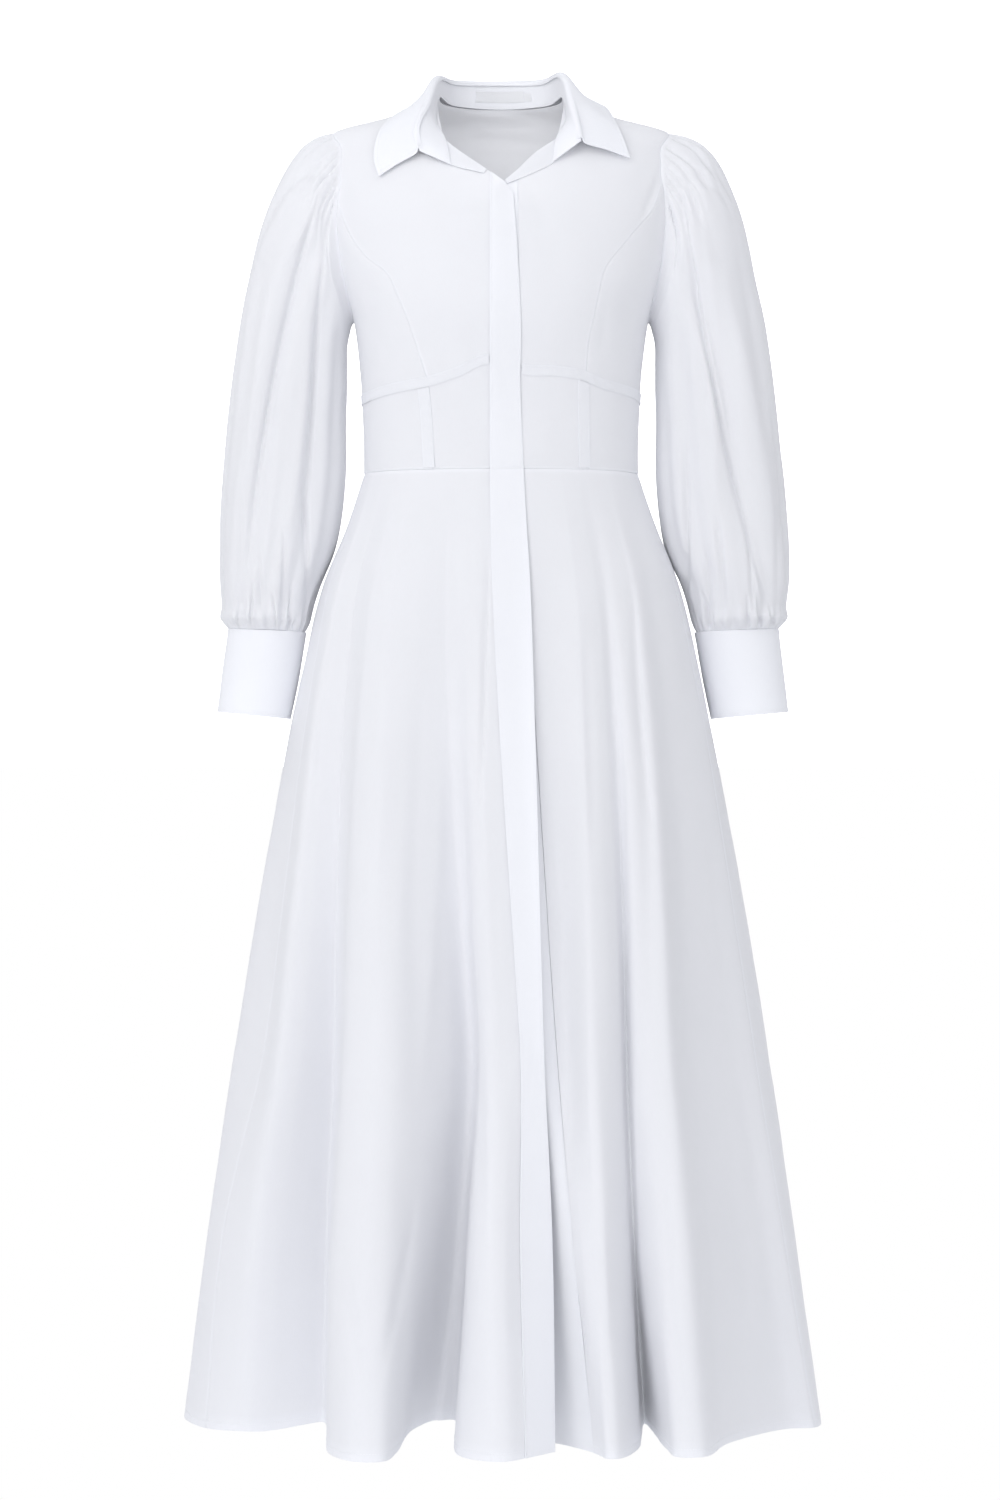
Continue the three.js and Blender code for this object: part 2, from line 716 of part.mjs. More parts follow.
function skirtRing(level) {
  if (rings.has(level)) return rings.get(level);
  const half = read(skirtForm, 'level', 'half', level);
  const fall = (waistLevel - level) / (waistLevel - hemLevel);
  const points = skirtLines.map((stations) => {
    const depth = read(stations, 'level', 'depth', level);
    const reach = read(skirtForm, 'level', depth > 0 ? 'back' : 'front', level);
    const across = read(stations, 'level', 'across', level);
    return new THREE.Vector3(across * half, depth * reach, level + stations[0].lift * fall * fall);
  });
  rings.set(level, new THREE.CatmullRomCurve3(points, false, 'centripetal'));
  return rings.get(level);
}

const skirtPoint = (line, level) => skirtRing(level).getPoint(THREE.MathUtils.clamp(line / lastLine, 0, 1));
const skirtStep = [0.03, 1];
const skirtLevel = (r) => THREE.MathUtils.lerp(waistLevel, hemLevel, r ** 1.25);

function skirtPanel(name, from, to, columnsPerLine) {
  const place = (c, r) => [THREE.MathUtils.lerp(from, to, c), skirtLevel(r)];
  const columns = Math.round((to - from) * columnsPerLine);
  return clothWall(name, whiteCloth, skirtPoint, place, {
    columns, rows: skirtRows, step: skirtStep, thickness: skirtWall,
  });
}

function skirt() {
  return [
    skirtPanel('skirt_front_left', underlapStitchLine + 0.03, leftSeamLine, 2.5),
    skirtPanel('skirt_back', leftSeamLine, rightSeamLine, 2),
    skirtPanel('skirt_front_right', rightSeamLine, overlapStitchLine + 0.1, 2.3),
  ];
}

// Placket: the bands down the two front edges, from neck to hem

function placketBand(name, bodicePlace, skirtFrom, skirtTo, topLevel, lift, columns) {
  const bodiceRows = 13;
  const surface = (u, level) => (level >= waistLevel
    ? torsoPoint(bodicePlace(u, level), level)
    : skirtPoint(THREE.MathUtils.lerp(skirtFrom, skirtTo, u), level));
  const place = (c, r) => {
    const row = r * (bodiceRows + skirtRows);
    if (row <= bodiceRows) return [c, THREE.MathUtils.lerp(topLevel(c), waistLevel, row / bodiceRows)];
    return [c, skirtLevel((row - bodiceRows) / skirtRows)];
  };
  return clothWall(name, whiteBand, surface, place, {
    columns, rows: bodiceRows + skirtRows, step: [0.02, 1], lift, thickness: bandWall,
  });
}

function plackets() {
  const overlapPlace = (u, level) => {
    const free = angleAtX(read(overlapEdge, 'level', 'x', level), level);
    return THREE.MathUtils.lerp(-angleAtX(placketStitchX, level), free, u);
  };
  const underlapPlace = (u, level) => {
    const from = -angleAtX(underlapEdgeX, level);
    return THREE.MathUtils.lerp(from, angleAtX(leftPanelEdgeX, level), u);
  };
  return [
    placketBand('placket_overlap', overlapPlace, overlapStitchLine, lastLine, (c) => -76 - 23 * c ** 1.6, 0.5 + bandWall, 3),
    placketBand('placket_underlap', underlapPlace, 0, underlapStitchLine, (c) => -92 + 20 * c, -0.4, 4),
  ];
}

// Turned-out facings of the two front edges above the placket
function neckFacings() {
  return Object.keys(sides).map((side) => {
    const rows = facingForm[side];
    const place = (c, r) => {
      const get = (column) => read(rows, 'row', column, c * (rows.length - 1));
      const x = THREE.MathUtils.lerp(get('neckX'), get('edgeX'), r);
      return seamPlace(x, THREE.MathUtils.lerp(get('neckLevel'), get('edgeLevel'), r));
    };
    return clothWall(`neck_facing_${side}`, whiteBand, torsoPoint, onSide(side, mirroredColumns(place)), {
      columns: 6, rows: 3, step: torsoStep, lift: 0.6 + tapeWall, thickness: tapeWall,
    });
  });
}

function mirroredColumns(place) {
  return (c, r) => place(1 - c, r);
}

// Collar

const collarLast = collarForm.length - 1;
const collarRead = (k, column) => read(collarForm, 'row', column, k);

function collarRoll(k) {
  return new THREE.Vector3(collarRead(k, 'rollX'), collarRead(k, 'rollY'), collarRead(k, 'rollZ'));
}

function liftedTorso(angle, level, lift) {
  return torsoPoint(angle, level).addScaledVector(normalAt(torsoPoint, angle, level, torsoStep), lift);
}

const seamPoints = new THREE.CatmullRomCurve3(
  collarForm.map((row) => liftedTorso(row.seamAngle, row.seamLevel, row.seamLift)), false, 'centripetal');
const edgePoints = new THREE.CatmullRomCurve3(
  collarForm.map((row) => liftedTorso(row.edgeAngle, row.edgeLevel, row.edgeLift)), false, 'centripetal');
const rollPoints = new THREE.CatmullRomCurve3(
  collarForm.map((row) => collarRoll(row.row)), false, 'centripetal');

function standPoint(k, h) {
  const f = THREE.MathUtils.clamp(k / collarLast, 0, 1);
  const seam = seamPoints.getPoint(f);
  const roll = rollPoints.getPoint(f);
  return seam.lerp(roll, h);
}

// The fall turns over the stand's top edge and runs down to its own free edge
function fallPoint(k, h) {
  const f = THREE.MathUtils.clamp(k / collarLast, 0, 1);
  const roll = rollPoints.getPoint(f);
  const rise = roll.clone().sub(seamPoints.getPoint(f)).normalize();
  const edge = edgePoints.getPoint(f);
  const out = edge.clone().sub(roll);
  const away = out.clone().addScaledVector(rise, -out.dot(rise)).normalize();
  const bulge = collarRead(k, 'bulge');
  const top = roll.clone().addScaledVector(rise, 1.7).addScaledVector(away, -0.8);
  const shoulder = roll.clone().addScaledVector(rise, 0.7).addScaledVector(away, 3.2);
  const mid = roll.clone().lerp(edge, 0.5).addScaledVector(rise, bulge * 0.5).addScaledVector(away, bulge * 0.8);
  const curve = new THREE.CatmullRomCurve3([top, shoulder, mid, edge], false, 'centripetal');
  return curve.getPoint(THREE.MathUtils.clamp(h, 0, 1));
}

function collar() {
  const place = (c, r) => [collarLast * c, r];
  const fallPlace = (c, r) => [THREE.MathUtils.lerp(0.06, collarLast - 0.06, c), r ** 1.2];
  return [
    clothWall('collar_stand', whiteBand, standPoint, (c, r) => place(c, 1 - r), {
      columns: collarColumns, rows: 3, step: [0.05, 0.02], lift: 0, thickness: -bandWall,
    }),
    clothWall('collar_fall', whiteBand, fallPoint, fallPlace, {
      columns: collarColumns, rows: 7, step: [0.05, 0.01], lift: 0, thickness: -bandWall,
    }),
  ];
}

// A blank woven label and its size tab, inside the back of the stand
function labels() {
  const tag = (name, size) => {
    const surface = (x, level) => {
      const f = THREE.MathUtils.clamp((level - neckBackLevel) / 30, 0, 1);
      const k = 5 + x / 43;
      return standPoint(k, f);
    };
    const place = (c, r) => [
      THREE.MathUtils.lerp(size.left, size.right, c),
      THREE.MathUtils.lerp(size.top, size.bottom, r),
    ];
    return clothWall(name, labelCloth, surface, place, {
      columns: 4, rows: 1, step: [1, 1], lift: bandWall + 0.5, thickness: -size.wall,
    });
  };
  return [tag('neck_label', neckLabel), tag('size_tab', sizeTab)];
}

// Sleeves and cuffs

function armSection(form, side, round, row) {
  const turn = THREE.MathUtils.degToRad(round);
  const name = side === 'right' ? 'Right' : 'Left';
  const get = (column) => read(form, 'row', column, row);
  const outer = new THREE.Vector3(sides[side] * get(`outer${name}`), 0, get('outerLevel'));
  const inner = new THREE.Vector3(sides[side] * get(`inner${name}`), 0, get('innerLevel'));
  const middle = outer.clone().add(inner).multiplyScalar(0.5);
  const half = outer.clone().sub(inner).multiplyScalar(0.5);
  middle.y = get('back') - get('depth') * Math.sin(turn);
  return middle.addScaledVector(half, Math.cos(turn));
}

function angleBetween(a, b) {
  return ((a - b + 540) % 360) - 180;
}

function sleeveRipple(side, round, row) {
  let sum = 0;
  for (const fold of sleeveFolds[side]) {
    const f = (row - fold.from) / (fold.to - fold.from);
    if (f > 0 && f < 1) {
      const away = angleBetween(round, THREE.MathUtils.lerp(fold.startAngle, fold.endAngle, f));
      sum += fold.depth * Math.sin(Math.PI * f) ** 0.7 * Math.exp(-((away / fold.width) ** 2));
    }
  }
  const lastRow = sleeveForm.length - 1;
  const turn = THREE.MathUtils.degToRad(round);
  const nearCap = Math.max(0, 1 - row / capGathers.rows) * Math.min(1, row);
  const nearCuff = Math.max(0, 1 - (lastRow - row) / cuffGathers.rows);
  const topHalf = Math.max(0, Math.cos(turn));
  sum += capGathers.depth * nearCap * 4 * topHalf * Math.cos(capGathers.waves * turn);
  sum += cuffGathers.depth * nearCuff * Math.min(1, (lastRow - row) / 0.8) * Math.cos(cuffGathers.waves * turn);
  return sum;
}

const sleeveSurface = (side) => (round, row) => {
  const section = armSection(sleeveForm, side, round, row);
  const [angle, level] = armholeEdge(((round % 360) + 360) % 360);
  const seam = torsoPoint(sides[side] * angle, level);
  seam.x += sides[side] * 1;
  const share = THREE.MathUtils.smoothstep(row, 0, sleeveBlendRows);
  const start = seam.add(section.clone().sub(armSection(sleeveForm, side, round, 0)));
  const point = start.lerp(section, share);
  const centre = armSection(sleeveForm, side, 0, row).add(armSection(sleeveForm, side, 180, row));
  const out = point.clone().sub(centre.multiplyScalar(0.5)).normalize();
  return point.addScaledVector(out, sleeveRipple(side, round, row));
};

function sleeve(side) {
  const lastRow = sleeveForm.length - 1;
  const place = (c, r) => [sides[side] * 360 * c, lastRow * r];
  return clothWall(`sleeve_${side}`, whiteCloth, (u, v) => sleeveSurface(side)(sides[side] * u, v), place, {
    columns: sleeveColumns, rows: lastRow, step: [1, 0.02], isRing: true, thickness: -panelWall,
  });
}

function cuff(side) {
  const surface = (u, v) => armSection(cuffForm, side, sides[side] * u, v);
  const place = (c, r) => [sides[side] * 360 * c, (cuffForm.length - 1) * r];
  return clothWall(`cuff_${side}`, whiteBand, surface, place, {
    columns: 28, rows: 2, step: [1, 0.02], isRing: true, thickness: -cuffWall,
  });
}

dress.add(
  ...Object.keys(sides).flatMap((side) => [frontCentre(side), frontSide(side)]),
  backBodice(),
  ...midriff(),
  ...tapes(),
  ...skirt(),
  ...plackets(),
  ...neckFacings(),
  ...collar(),
  ...labels(),
  ...Object.keys(sides).flatMap((side) => [sleeve(side), cuff(side)]),
);

export default dress;
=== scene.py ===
"""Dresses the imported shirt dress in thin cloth, with its creases, seams, gathers and stitches."""

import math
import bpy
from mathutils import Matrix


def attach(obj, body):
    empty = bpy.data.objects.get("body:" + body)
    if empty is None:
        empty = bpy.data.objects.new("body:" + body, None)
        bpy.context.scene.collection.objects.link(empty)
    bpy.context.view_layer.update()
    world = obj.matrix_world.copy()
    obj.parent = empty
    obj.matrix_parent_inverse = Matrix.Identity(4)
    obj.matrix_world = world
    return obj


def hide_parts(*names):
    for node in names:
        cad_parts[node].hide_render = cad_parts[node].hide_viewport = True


bl_info = {
    "name": "Shirt dress",
    "version": (1, 0, 0),
    "blender": (4, 5, 0),
    "location": "3D View > Sidebar > Dress",
    "description": "Makes the cloth of a shirt dress, its sewing and a plain studio round the packed frame",
    "category": "Add Mesh",
}

import bpy
import numpy as np
from mathutils import Vector

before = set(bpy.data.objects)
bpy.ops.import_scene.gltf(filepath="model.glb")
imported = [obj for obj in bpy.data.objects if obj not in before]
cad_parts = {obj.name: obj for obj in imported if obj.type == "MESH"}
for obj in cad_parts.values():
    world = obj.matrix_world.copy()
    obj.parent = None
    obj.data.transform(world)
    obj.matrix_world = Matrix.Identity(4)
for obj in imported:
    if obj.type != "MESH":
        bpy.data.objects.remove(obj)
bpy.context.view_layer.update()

MM = 0.001
BODY = "root"

# Levels and widths in millimetres, as in the part: Z up, the front towards -Y
SHOULDER_TIP_LEVEL = -25
NECK_SIDE_LEVEL = 10
NECK_BACK_LEVEL = 7
WAIST_LEVEL = -367
KNEE_LEVEL = -912
SHIN_LEVEL = -1110
HEM_LEVEL = -1308
NECK_HALF_WIDTH = 62
SHOULDER_HALF_WIDTH = 167
PLACKET_STITCH_X = 11
UNDERLAP_EDGE_X = 6
PANEL_EDGE_X = {"right": 8, "left": 17}
ARMHOLE = {"top": SHOULDER_TIP_LEVEL, "bottom": -215, "front": 46, "back": 52}
PRINCESS_START = {"right": 78, "left": 65}
SQUARENESS = 2.3
TAPE_WIDTH = 10
CHANNEL_WIDTH = 11
CAMERA_DISTANCE = 4500
# How far a doubled seam takes the doubled cloth's colour: painted lighter, as less shade from inside shows through it
SEAM_LESS_SHADE_SHARE = 0.6
SIDES = {"right": -1, "left": 1}


def table(columns, rows):
    """Named columns of a short table, as arrays, with the number of each row."""
    made = {"row": np.arange(len(rows), dtype=float)}
    for i, column in enumerate(columns):
        values = [row[i] for row in rows]
        made[column] = values if isinstance(values[0], str) else np.array(values, float)
    return made


TORSO = table(["level", "half", "front", "back"], [
    [14, 58, 12, 60], [10, 62, 16, 62], [4, 72, 20, 65], [-3, 91, 26, 70], [-12, 121, 34, 76],
    [-25, 167, 46, 86], [-45, 171, 64, 93], [-70, 173, 84, 100], [-112, 174, 108, 106],
    [-157, 166, 119, 105], [-187, 156, 124, 101], [-215, 147, 124, 96], [-262, 141, 114, 88],
    [-310, 138, 106, 82], [-367, 137, 105, 80],
])
SHOULDER = table(["half", "level"], [[62, 10], [72, 4], [91, -3], [121, -12], [167, -25]])
SKIRT = table(["level", "half", "front", "back"], [
    [-367, 137, 105, 80], [-420, 155, 118, 98], [-479, 178, 134, 122], [-562, 198, 152, 148],
    [-692, 224, 178, 178], [-912, 262, 212, 215], [-1110, 291, 255, 250], [-1308, 317, 290, 285],
])
UNDERBUST = table(["angle", "level"], [
    [-180, -292], [-90, -293], [-70, -292], [-45, -286], [-27, -281], [-14, -272], [-3.6, -261],
    [8, -271], [18, -271.5], [31, -275], [44, -283], [75, -290], [90, -292], [180, -292], [270, -293],
])
PRINCESS = {
    "right": table(["level", "x"], [
        [-100, 162], [-135, 148], [-158, 132], [-174, 113], [-196, 102], [-218, 93], [-241, 85],
        [-263, 78], [-285, 72], [-367, 67],
    ]),
    "left": table(["level", "x"], [
        [-80, 160], [-110, 149], [-133, 131], [-157, 112], [-172, 102], [-192, 97], [-216, 92],
        [-243, 86], [-275, 84], [-367, 85],
    ]),
}
NECK_EDGE = {
    "right": table(["x", "level"], [
        [62, 10], [62.5, 4], [62.5, -4], [61.5, -14], [59, -26], [55, -40], [44, -50], [31, -60],
        [18, -70], [8, -76],
    ]),
    "left": table(["x", "level"], [
        [62, 10], [62.5, 4], [62, -4], [60.5, -14], [58, -26], [53, -40], [43, -47], [34, -54],
        [26, -62], [17, -72],
    ]),
}
FACING_COLUMNS = ["neck_x", "neck_level", "edge_x", "edge_level"]
FACING = {
    "right": table(FACING_COLUMNS, [
        [55, -40.5, 49, -68], [44, -50.5, 40, -71], [31, -60.5, 29, -74], [14, -73, 17, -77],
    ]),
    "left": table(FACING_COLUMNS, [
        [53, -40.5, 52, -65], [43, -47.5, 45, -70], [34, -54.5, 37, -74], [26, -62.5, 29, -78],
        [17, -72.5, 20, -82], [4, -84.5, 6, -88],
    ]),
}
OVERLAP_EDGE = table(["level", "x"], [[-98, 12], [-148, 15.6], [-235, 19.5], [-280, 18.6], [-367, 22]])
COLLAR = table(
    ["seam_angle", "seam_level", "seam_lift", "roll_x", "roll_y", "roll_z", "edge_angle",
     "edge_level", "edge_lift", "bulge"],
    [
        [-13.6, -69, 2.4, -80, -74, -53, -40, -81, 4, 3],
        [-15.8, -40, 2.2, -84, -68, -32, -43, -60, 5, 4],
        [-20.5, -22, 1.4, -74, -44, -2, -40.5, -31, 5, 3],
        [-90, 10, 0.4, -64, 2, 29.5, -90, -3.5, 2.4, -7],
        [-135, 8.5, 0.2, -46, 49, 32.5, -136, -10, 4, 0],
        [-180, 7, 0.2, -2, 66, 33.6, -180, -12, 5, 3],
        [-224, 8.5, 0.2, 41, 49, 33, -222, -10, 5, 2],
        [-270, 10, 0.4, 61, 2, 33, -270, -6, 7, -4],
        [-339.5, -22, 1.4, 71, -44, -2, -321, -27, 6, 3],
        [-344.3, -40, 2.2, 76, -66, -27, -318.5, -43, 6, 4],
        [-345.8, -66, 2.4, 79, -74, -43, -316, -62, 5, 3],
    ],
)
FOLD_COLUMNS = ["fold", "waist", "knee_x", "knee_y", "shin_x", "shin_y", "hem_x", "hem_y", "lift", "round"]
LEFT_FRONT_FOLDS = table(FOLD_COLUMNS, [
    ["underlap edge", -2.4, 28, -182, 40, -204, 46, -190, 3, 0],
    ["underlap fold", 1.5, 37, -196, 53, -222, 63, -212, 3, 0],
    ["underlap stitching", 5.2, 52, -186, 68, -234, 88, -244, 1, 0],
    ["shadow by the placket", 12, 63, -185, 78, -246, 95, -260, 0, 0],
    ["fourth crest", 22, 87, -208, 95, -255, 105, -273, 0, 5],
    ["fourth crest, outer side", 29, 113, -184, 121, -207, 131, -214, 1, 0],
    ["fourth valley", 33, 120, -164, 127, -190, 139, -140, 13, 0],
    ["fifth crest, inner side", 38, 128, -184, 133, -208, 157, -226, 2, 0],
    ["fifth crest", 47, 152, -190, 166, -235, 178, -262, 0, 12],
    ["fifth crest, outer side", 56, 180, -134, 203, -156, 220, -174, 0, 0],
    ["side valley", 66, 222, -86, 252, -86, 280, -86, 0, 0],
    ["side seam", 78, 246, -62, 277, -70, 309, -76, 0, 0],
])
RIGHT_FRONT_FOLDS = table(FOLD_COLUMNS, [
    ["side seam", -78, -229, -78, -272, -78, -290, -80, 0, 0],
    ["first crest", -66, -204, -121, -229, -122, -242, -114, 2, 12],
    ["first valley", -55, -164, -104, -172, -98, -176, -94, 8, 2],
    ["first valley, inner side", -50, -154, -140, -163, -150, -167, -142, 5, 0],
    ["second crest, outer side", -45, -148, -190, -158, -235, -162, -250, 1, 0],
    ["second crest", -37, -112, -213, -120, -262, -124, -290, 0, 13],
    ["second crest, inner side", -28, -74, -192, -84, -234, -99, -250, 2, 0],
    ["second valley, outer side", -22.5, -50, -168, -62, -192, -86, -178, 12, 0],
    ["second valley", -18, -32, -150, -40, -154, -62, -144, 17, 3],
    ["second valley, inner side", -14, -25, -160, -32, -164, -46, -140, 17, 0],
    ["third crest, outer side", -10, -22, -196, -29, -240, -41, -256, 1, 0],
    ["third crest", -6.5, -3, -211, -5, -262, -2, -289, 0, 8],
    ["placket stitching", -3.15, 17, -208, 17.5, -250, 22, -276, 1, 0],
    ["placket edge", 7, 40, -203, 48, -232, 50, -248, 3, 0],
])
BACK_FOLDS = table(["angle", "reach", "lift", "round"], [
    [90, 1, 0, 0], [99, 0.97, 2, 0], [109, 0.79, 8, 1.5], [122, 1, 0, 3.5], [136, 0.7, 11, 2.5],
    [150, 1.02, 0, 4.5], [163, 0.64, 14, 2], [174, 0.97, 0, 3], [186, 0.68, 12, 2.5], [199, 1, 0, 4],
    [212, 0.66, 13, 2.5], [225, 1.01, 0, 4.5], [239, 0.77, 8, 1.5], [250, 0.99, 0, 3],
    [260, 0.95, 2, 0], [270, 1, 0, 0],
])
FOLD_GROWTH = np.array([0, 0.52, 0.77, 1])
ROUND_GROWTH = {"knee": 0.75, "shin": 0.88}
ROUND_WAIST_SHARE = 0.12

ARM_COLUMNS = ["outer_right", "outer_left", "outer_level", "inner_right", "inner_left", "inner_level",
               "depth", "back"]
SLEEVE = table(ARM_COLUMNS, [
    [167, 167, -25, 147, 147, -215, 49, 3], [192, 197, -34, 149.5, 149.5, -219, 55, 3],
    [209, 215, -51, 151, 151, -224, 58, 3], [226, 231, -82, 152.5, 152.5, -230, 58, 3],
    [241, 245, -122, 154, 154, -240, 57, 4], [253, 255, -172, 154, 154, -256, 56, 5],
    [263, 266, -225, 154, 154, -284, 55, 6], [271, 274, -285, 155, 155, -320, 54, 8],
    [277, 280, -340, 155, 155, -362, 55, 10], [281, 286, -395, 159, 158, -405, 57, 12],
    [282, 289, -440, 166, 165, -442, 58, 13], [282, 289, -475, 180, 180, -476, 57, 14],
    [279, 285, -502, 188.5, 188.5, -504, 49, 14], [274, 279, -520, 194.5, 194.5, -523, 39, 14],
])
SLEEVE_BLEND_ROWS = 2.4
CUFF = table(ARM_COLUMNS, [
    [273, 278, -521, 195.5, 194.5, -524, 36, 14], [279, 283, -562, 202.5, 202, -567, 36.5, 14.5],
    [284, 288, -604, 211.5, 211, -611, 37.5, 15],
])
ARM_FOLD_COLUMNS = ["from", "to", "start_angle", "end_angle", "width", "depth"]
SLEEVE_FOLDS = {
    "right": table(ARM_FOLD_COLUMNS, [
        [0.8, 12, 96, 60, 9, -7], [0.6, 12, 76, 40, 11, 4], [2, 12.5, 122, 118, 10, -6],
        [1.5, 12, 262, 285, 13, -7], [1.5, 12, 236, 258, 13, 4], [1, 9, 318, 336, 10, -4],
        [3, 12.4, 148, 142, 9, -3], [5, 12.6, 20, 14, 9, -3], [4, 12.6, 210, 222, 9, -4],
        [0.5, 5, 55, 12, 7, -3.5], [0.6, 3.6, 62, 40, 6, 2.5], [7, 12.8, 92, 86, 6, -2.4],
    ]),
    "left": table(ARM_FOLD_COLUMNS, [
        [0.8, 12.5, 118, 48, 9, -7], [0.8, 12, 96, 26, 11, 4], [4, 12.5, 126, 116, 10, -6],
        [1.5, 12, 276, 252, 13, -7], [1.5, 12, 300, 280, 13, 4], [1, 8, 326, 340, 10, -4],
        [2.5, 12.4, 70, 84, 8, -2.6], [6, 12.8, 150, 146, 8, -3.4], [4, 12.6, 214, 206, 9, -4],
        [0.5, 3.4, 60, 30, 6, -3], [0.5, 4.4, 40, 8, 7, -3], [7, 12.8, 24, 16, 7, -2.6],
    ]),
}

# Soft creases as seen from the front at the camera's distance: start, end, how far the middle
# bows to the side, width and depth, a minus depth being a trough. 'Sharp' narrows one side.
CREASE_COLUMNS = ["x1", "z1", "x2", "z2", "bow", "width", "depth", "sharp"]
BODICE_CREASES = table(CREASE_COLUMNS, [
    [160, -58, 140, -112, 2, 4, -1.5, 1], [166, -74, 147, -116, -2, 4.5, 1.3, 1],
    [152, -52, 126, -84, 3, 8, -0.8, 1], [-102, -185, -78, -186, 1, 3, -0.5, 1],
    [-166, -62, -146, -130, 3, 8, -0.9, 1], [-160, -112, -138, -158, -3, 7, 0.8, 1],
    [-150, -176, -118, -190, 2, 7, -0.7, 1], [132, -178, 118, -226, 3, 8, -1.1, 1],
    [-58, -96, -40, -168, 4, 13, -0.7, 1], [44, -104, 62, -176, -5, 14, -0.8, 1],
    [30, -84, 46, -120, 3, 7, -0.9, 1], [-128, -222, -104, -262, 2, 6, -0.6, 1],
    [-34, -206, -20, -250, -2, 8, -0.6, 1], [104, -196, 98, -250, 2, 5, -0.8, 1],
])
BACK_CREASES = table(CREASE_COLUMNS, [
    [-150, -60, -118, -128, 5, 9, -1.3, 1], [150, -66, 122, -134, -5, 9, -1.3, 1],
    [-100, -150, -60, -170, 4, 8, -0.8, 1], [64, -158, 108, -146, -4, 8, -0.8, 1],
    [-128, -198, -112, -270, 3, 7, -0.9, 1], [126, -206, 110, -272, -3, 7, -0.9, 1],
    [-42, -226, -30, -284, 2, 9, -0.7, 1], [36, -220, 28, -280, -2, 9, -0.7, 1],
    [-58, -8, 26, -12, 2, 3.5, -1.1, 1], [-34, -21, 56, -27, -2, 4, -1.8, 1],
    [-58, -27, -2, -37, 2, 4, 1.6, 1], [-30, -38, 44, -48, 2, 4.5, -2.6, 1],
    [4, -5, 58, -14, 1, 3.5, 1.4, 1], [-14, -56, 34, -68, 1, 5, -2.2, 1],
])
MIDRIFF_CREASES = table(CREASE_COLUMNS, [
    [-64, -300, -20, -304, 2, 5, -0.4, 1], [-128, -330, -84, -340, 2, 5, -0.5, 1],
    [30, -318, 78, -312, -2, 5, -0.4, 1], [100, -326, 134, -340, 2, 5, -0.5, 1],
    [-110, -352, -60, -350, 1, 4, -0.4, 1], [92, -356, 130, -352, 1, 4, -0.5, 1],
])
SKIRT_CREASES = table(CREASE_COLUMNS, [
    [-12, -420, -24, -730, 2, 4, -2.2, 0.5], [-76, -560, -88, -900, -3, 9, -1.6, 1],
    [-60, -640, -84, -1010, 4, 7, 1.4, 1], [-104, -610, -122, -880, 3, 10, -1.3, 1],
    [-132, -520, -150, -760, 4, 12, -1.4, 1], [-28, -840, -20, -1150, 2, 6, -1.5, 1],
    [-86, -1090, -126, -1280, 6, 6, -2.2, 0.6], [-152, -1160, -130, -1330, -4, 6, -1.6, 1],
    [-196, -1290, -250, -1300, 5, 8, -1.2, 1], [-238, -1000, -262, -1240, 3, 10, 1.4, 1],
    [22, -860, 34, -940, 3, 4, -1.8, 1], [20, -960, 46, -1010, -4, 4, -1.6, 1],
    [30, -1020, 44, -1130, 3, 5, 1, 1], [84, -520, 92, -760, 2, 6, -1.6, 1],
    [98, -700, 108, -980, 2, 8, 1.2, 1], [132, -470, 152, -730, -3, 5, -2, 0.6],
    [118, -540, 140, -820, 3, 8, 1.6, 1], [170, -640, 190, -900, 3, 9, -2, 1],
    [152, -980, 176, -1300, 3, 7, -1.6, 1], [76, -1180, 82, -1330, 2, 5, -1.8, 0.6],
    [108, -1090, 112, -1260, 3, 8, -1.4, 1], [230, -980, 262, -1260, 4, 9, 1.6, 1],
    [-226, -700, -236, -900, 2, 7, -1.2, 1], [-180, -560, -200, -700, 2, 8, 1, 1],
])
PLACKET_CREASES = table(CREASE_COLUMNS, [
    [21, -936, 43, -950, 1, 2.2, -0.9, 1], [22, -952, 45, -968, 1, 2.4, -1, 1],
    [22, -972, 46, -990, -1, 2.4, -0.9, 1], [26, -1000, 46, -1012, 1, 2.6, -0.8, 1],
    [20, -700, 30, -716, 1, 3, -0.5, 1], [16, -560, 26, -570, 1, 3, -0.4, 1],
    [34, -1120, 48, -1136, 1, 4, -0.6, 1], [2, -300, 16, -306, 1, 3, -0.3, 1],
])
SKIRT_BACK_CREASES = table(CREASE_COLUMNS, [
    [-96, -400, -112, -700, 4, 9, -1.8, 1], [-40, -420, -44, -780, 3, 8, -1.6, 1],
    [18, -410, 30, -720, -3, 8, -1.7, 1], [88, -400, 108, -740, -4, 9, -1.8, 1],
    [-150, -520, -176, -860, 4, 9, -1.5, 1], [146, -540, 176, -880, -4, 9, -1.5, 1],
    [-70, -760, -84, -1180, 3, 6, -1.6, 1], [62, -820, 74, -1240, -3, 6, -1.5, 1],
    [-4, -900, 6, -1290, 3, 6, 1.4, 1], [-206, -860, -226, -1240, 4, 8, 1.5, 1],
    [204, -900, 228, -1260, -4, 8, 1.5, 1],
])
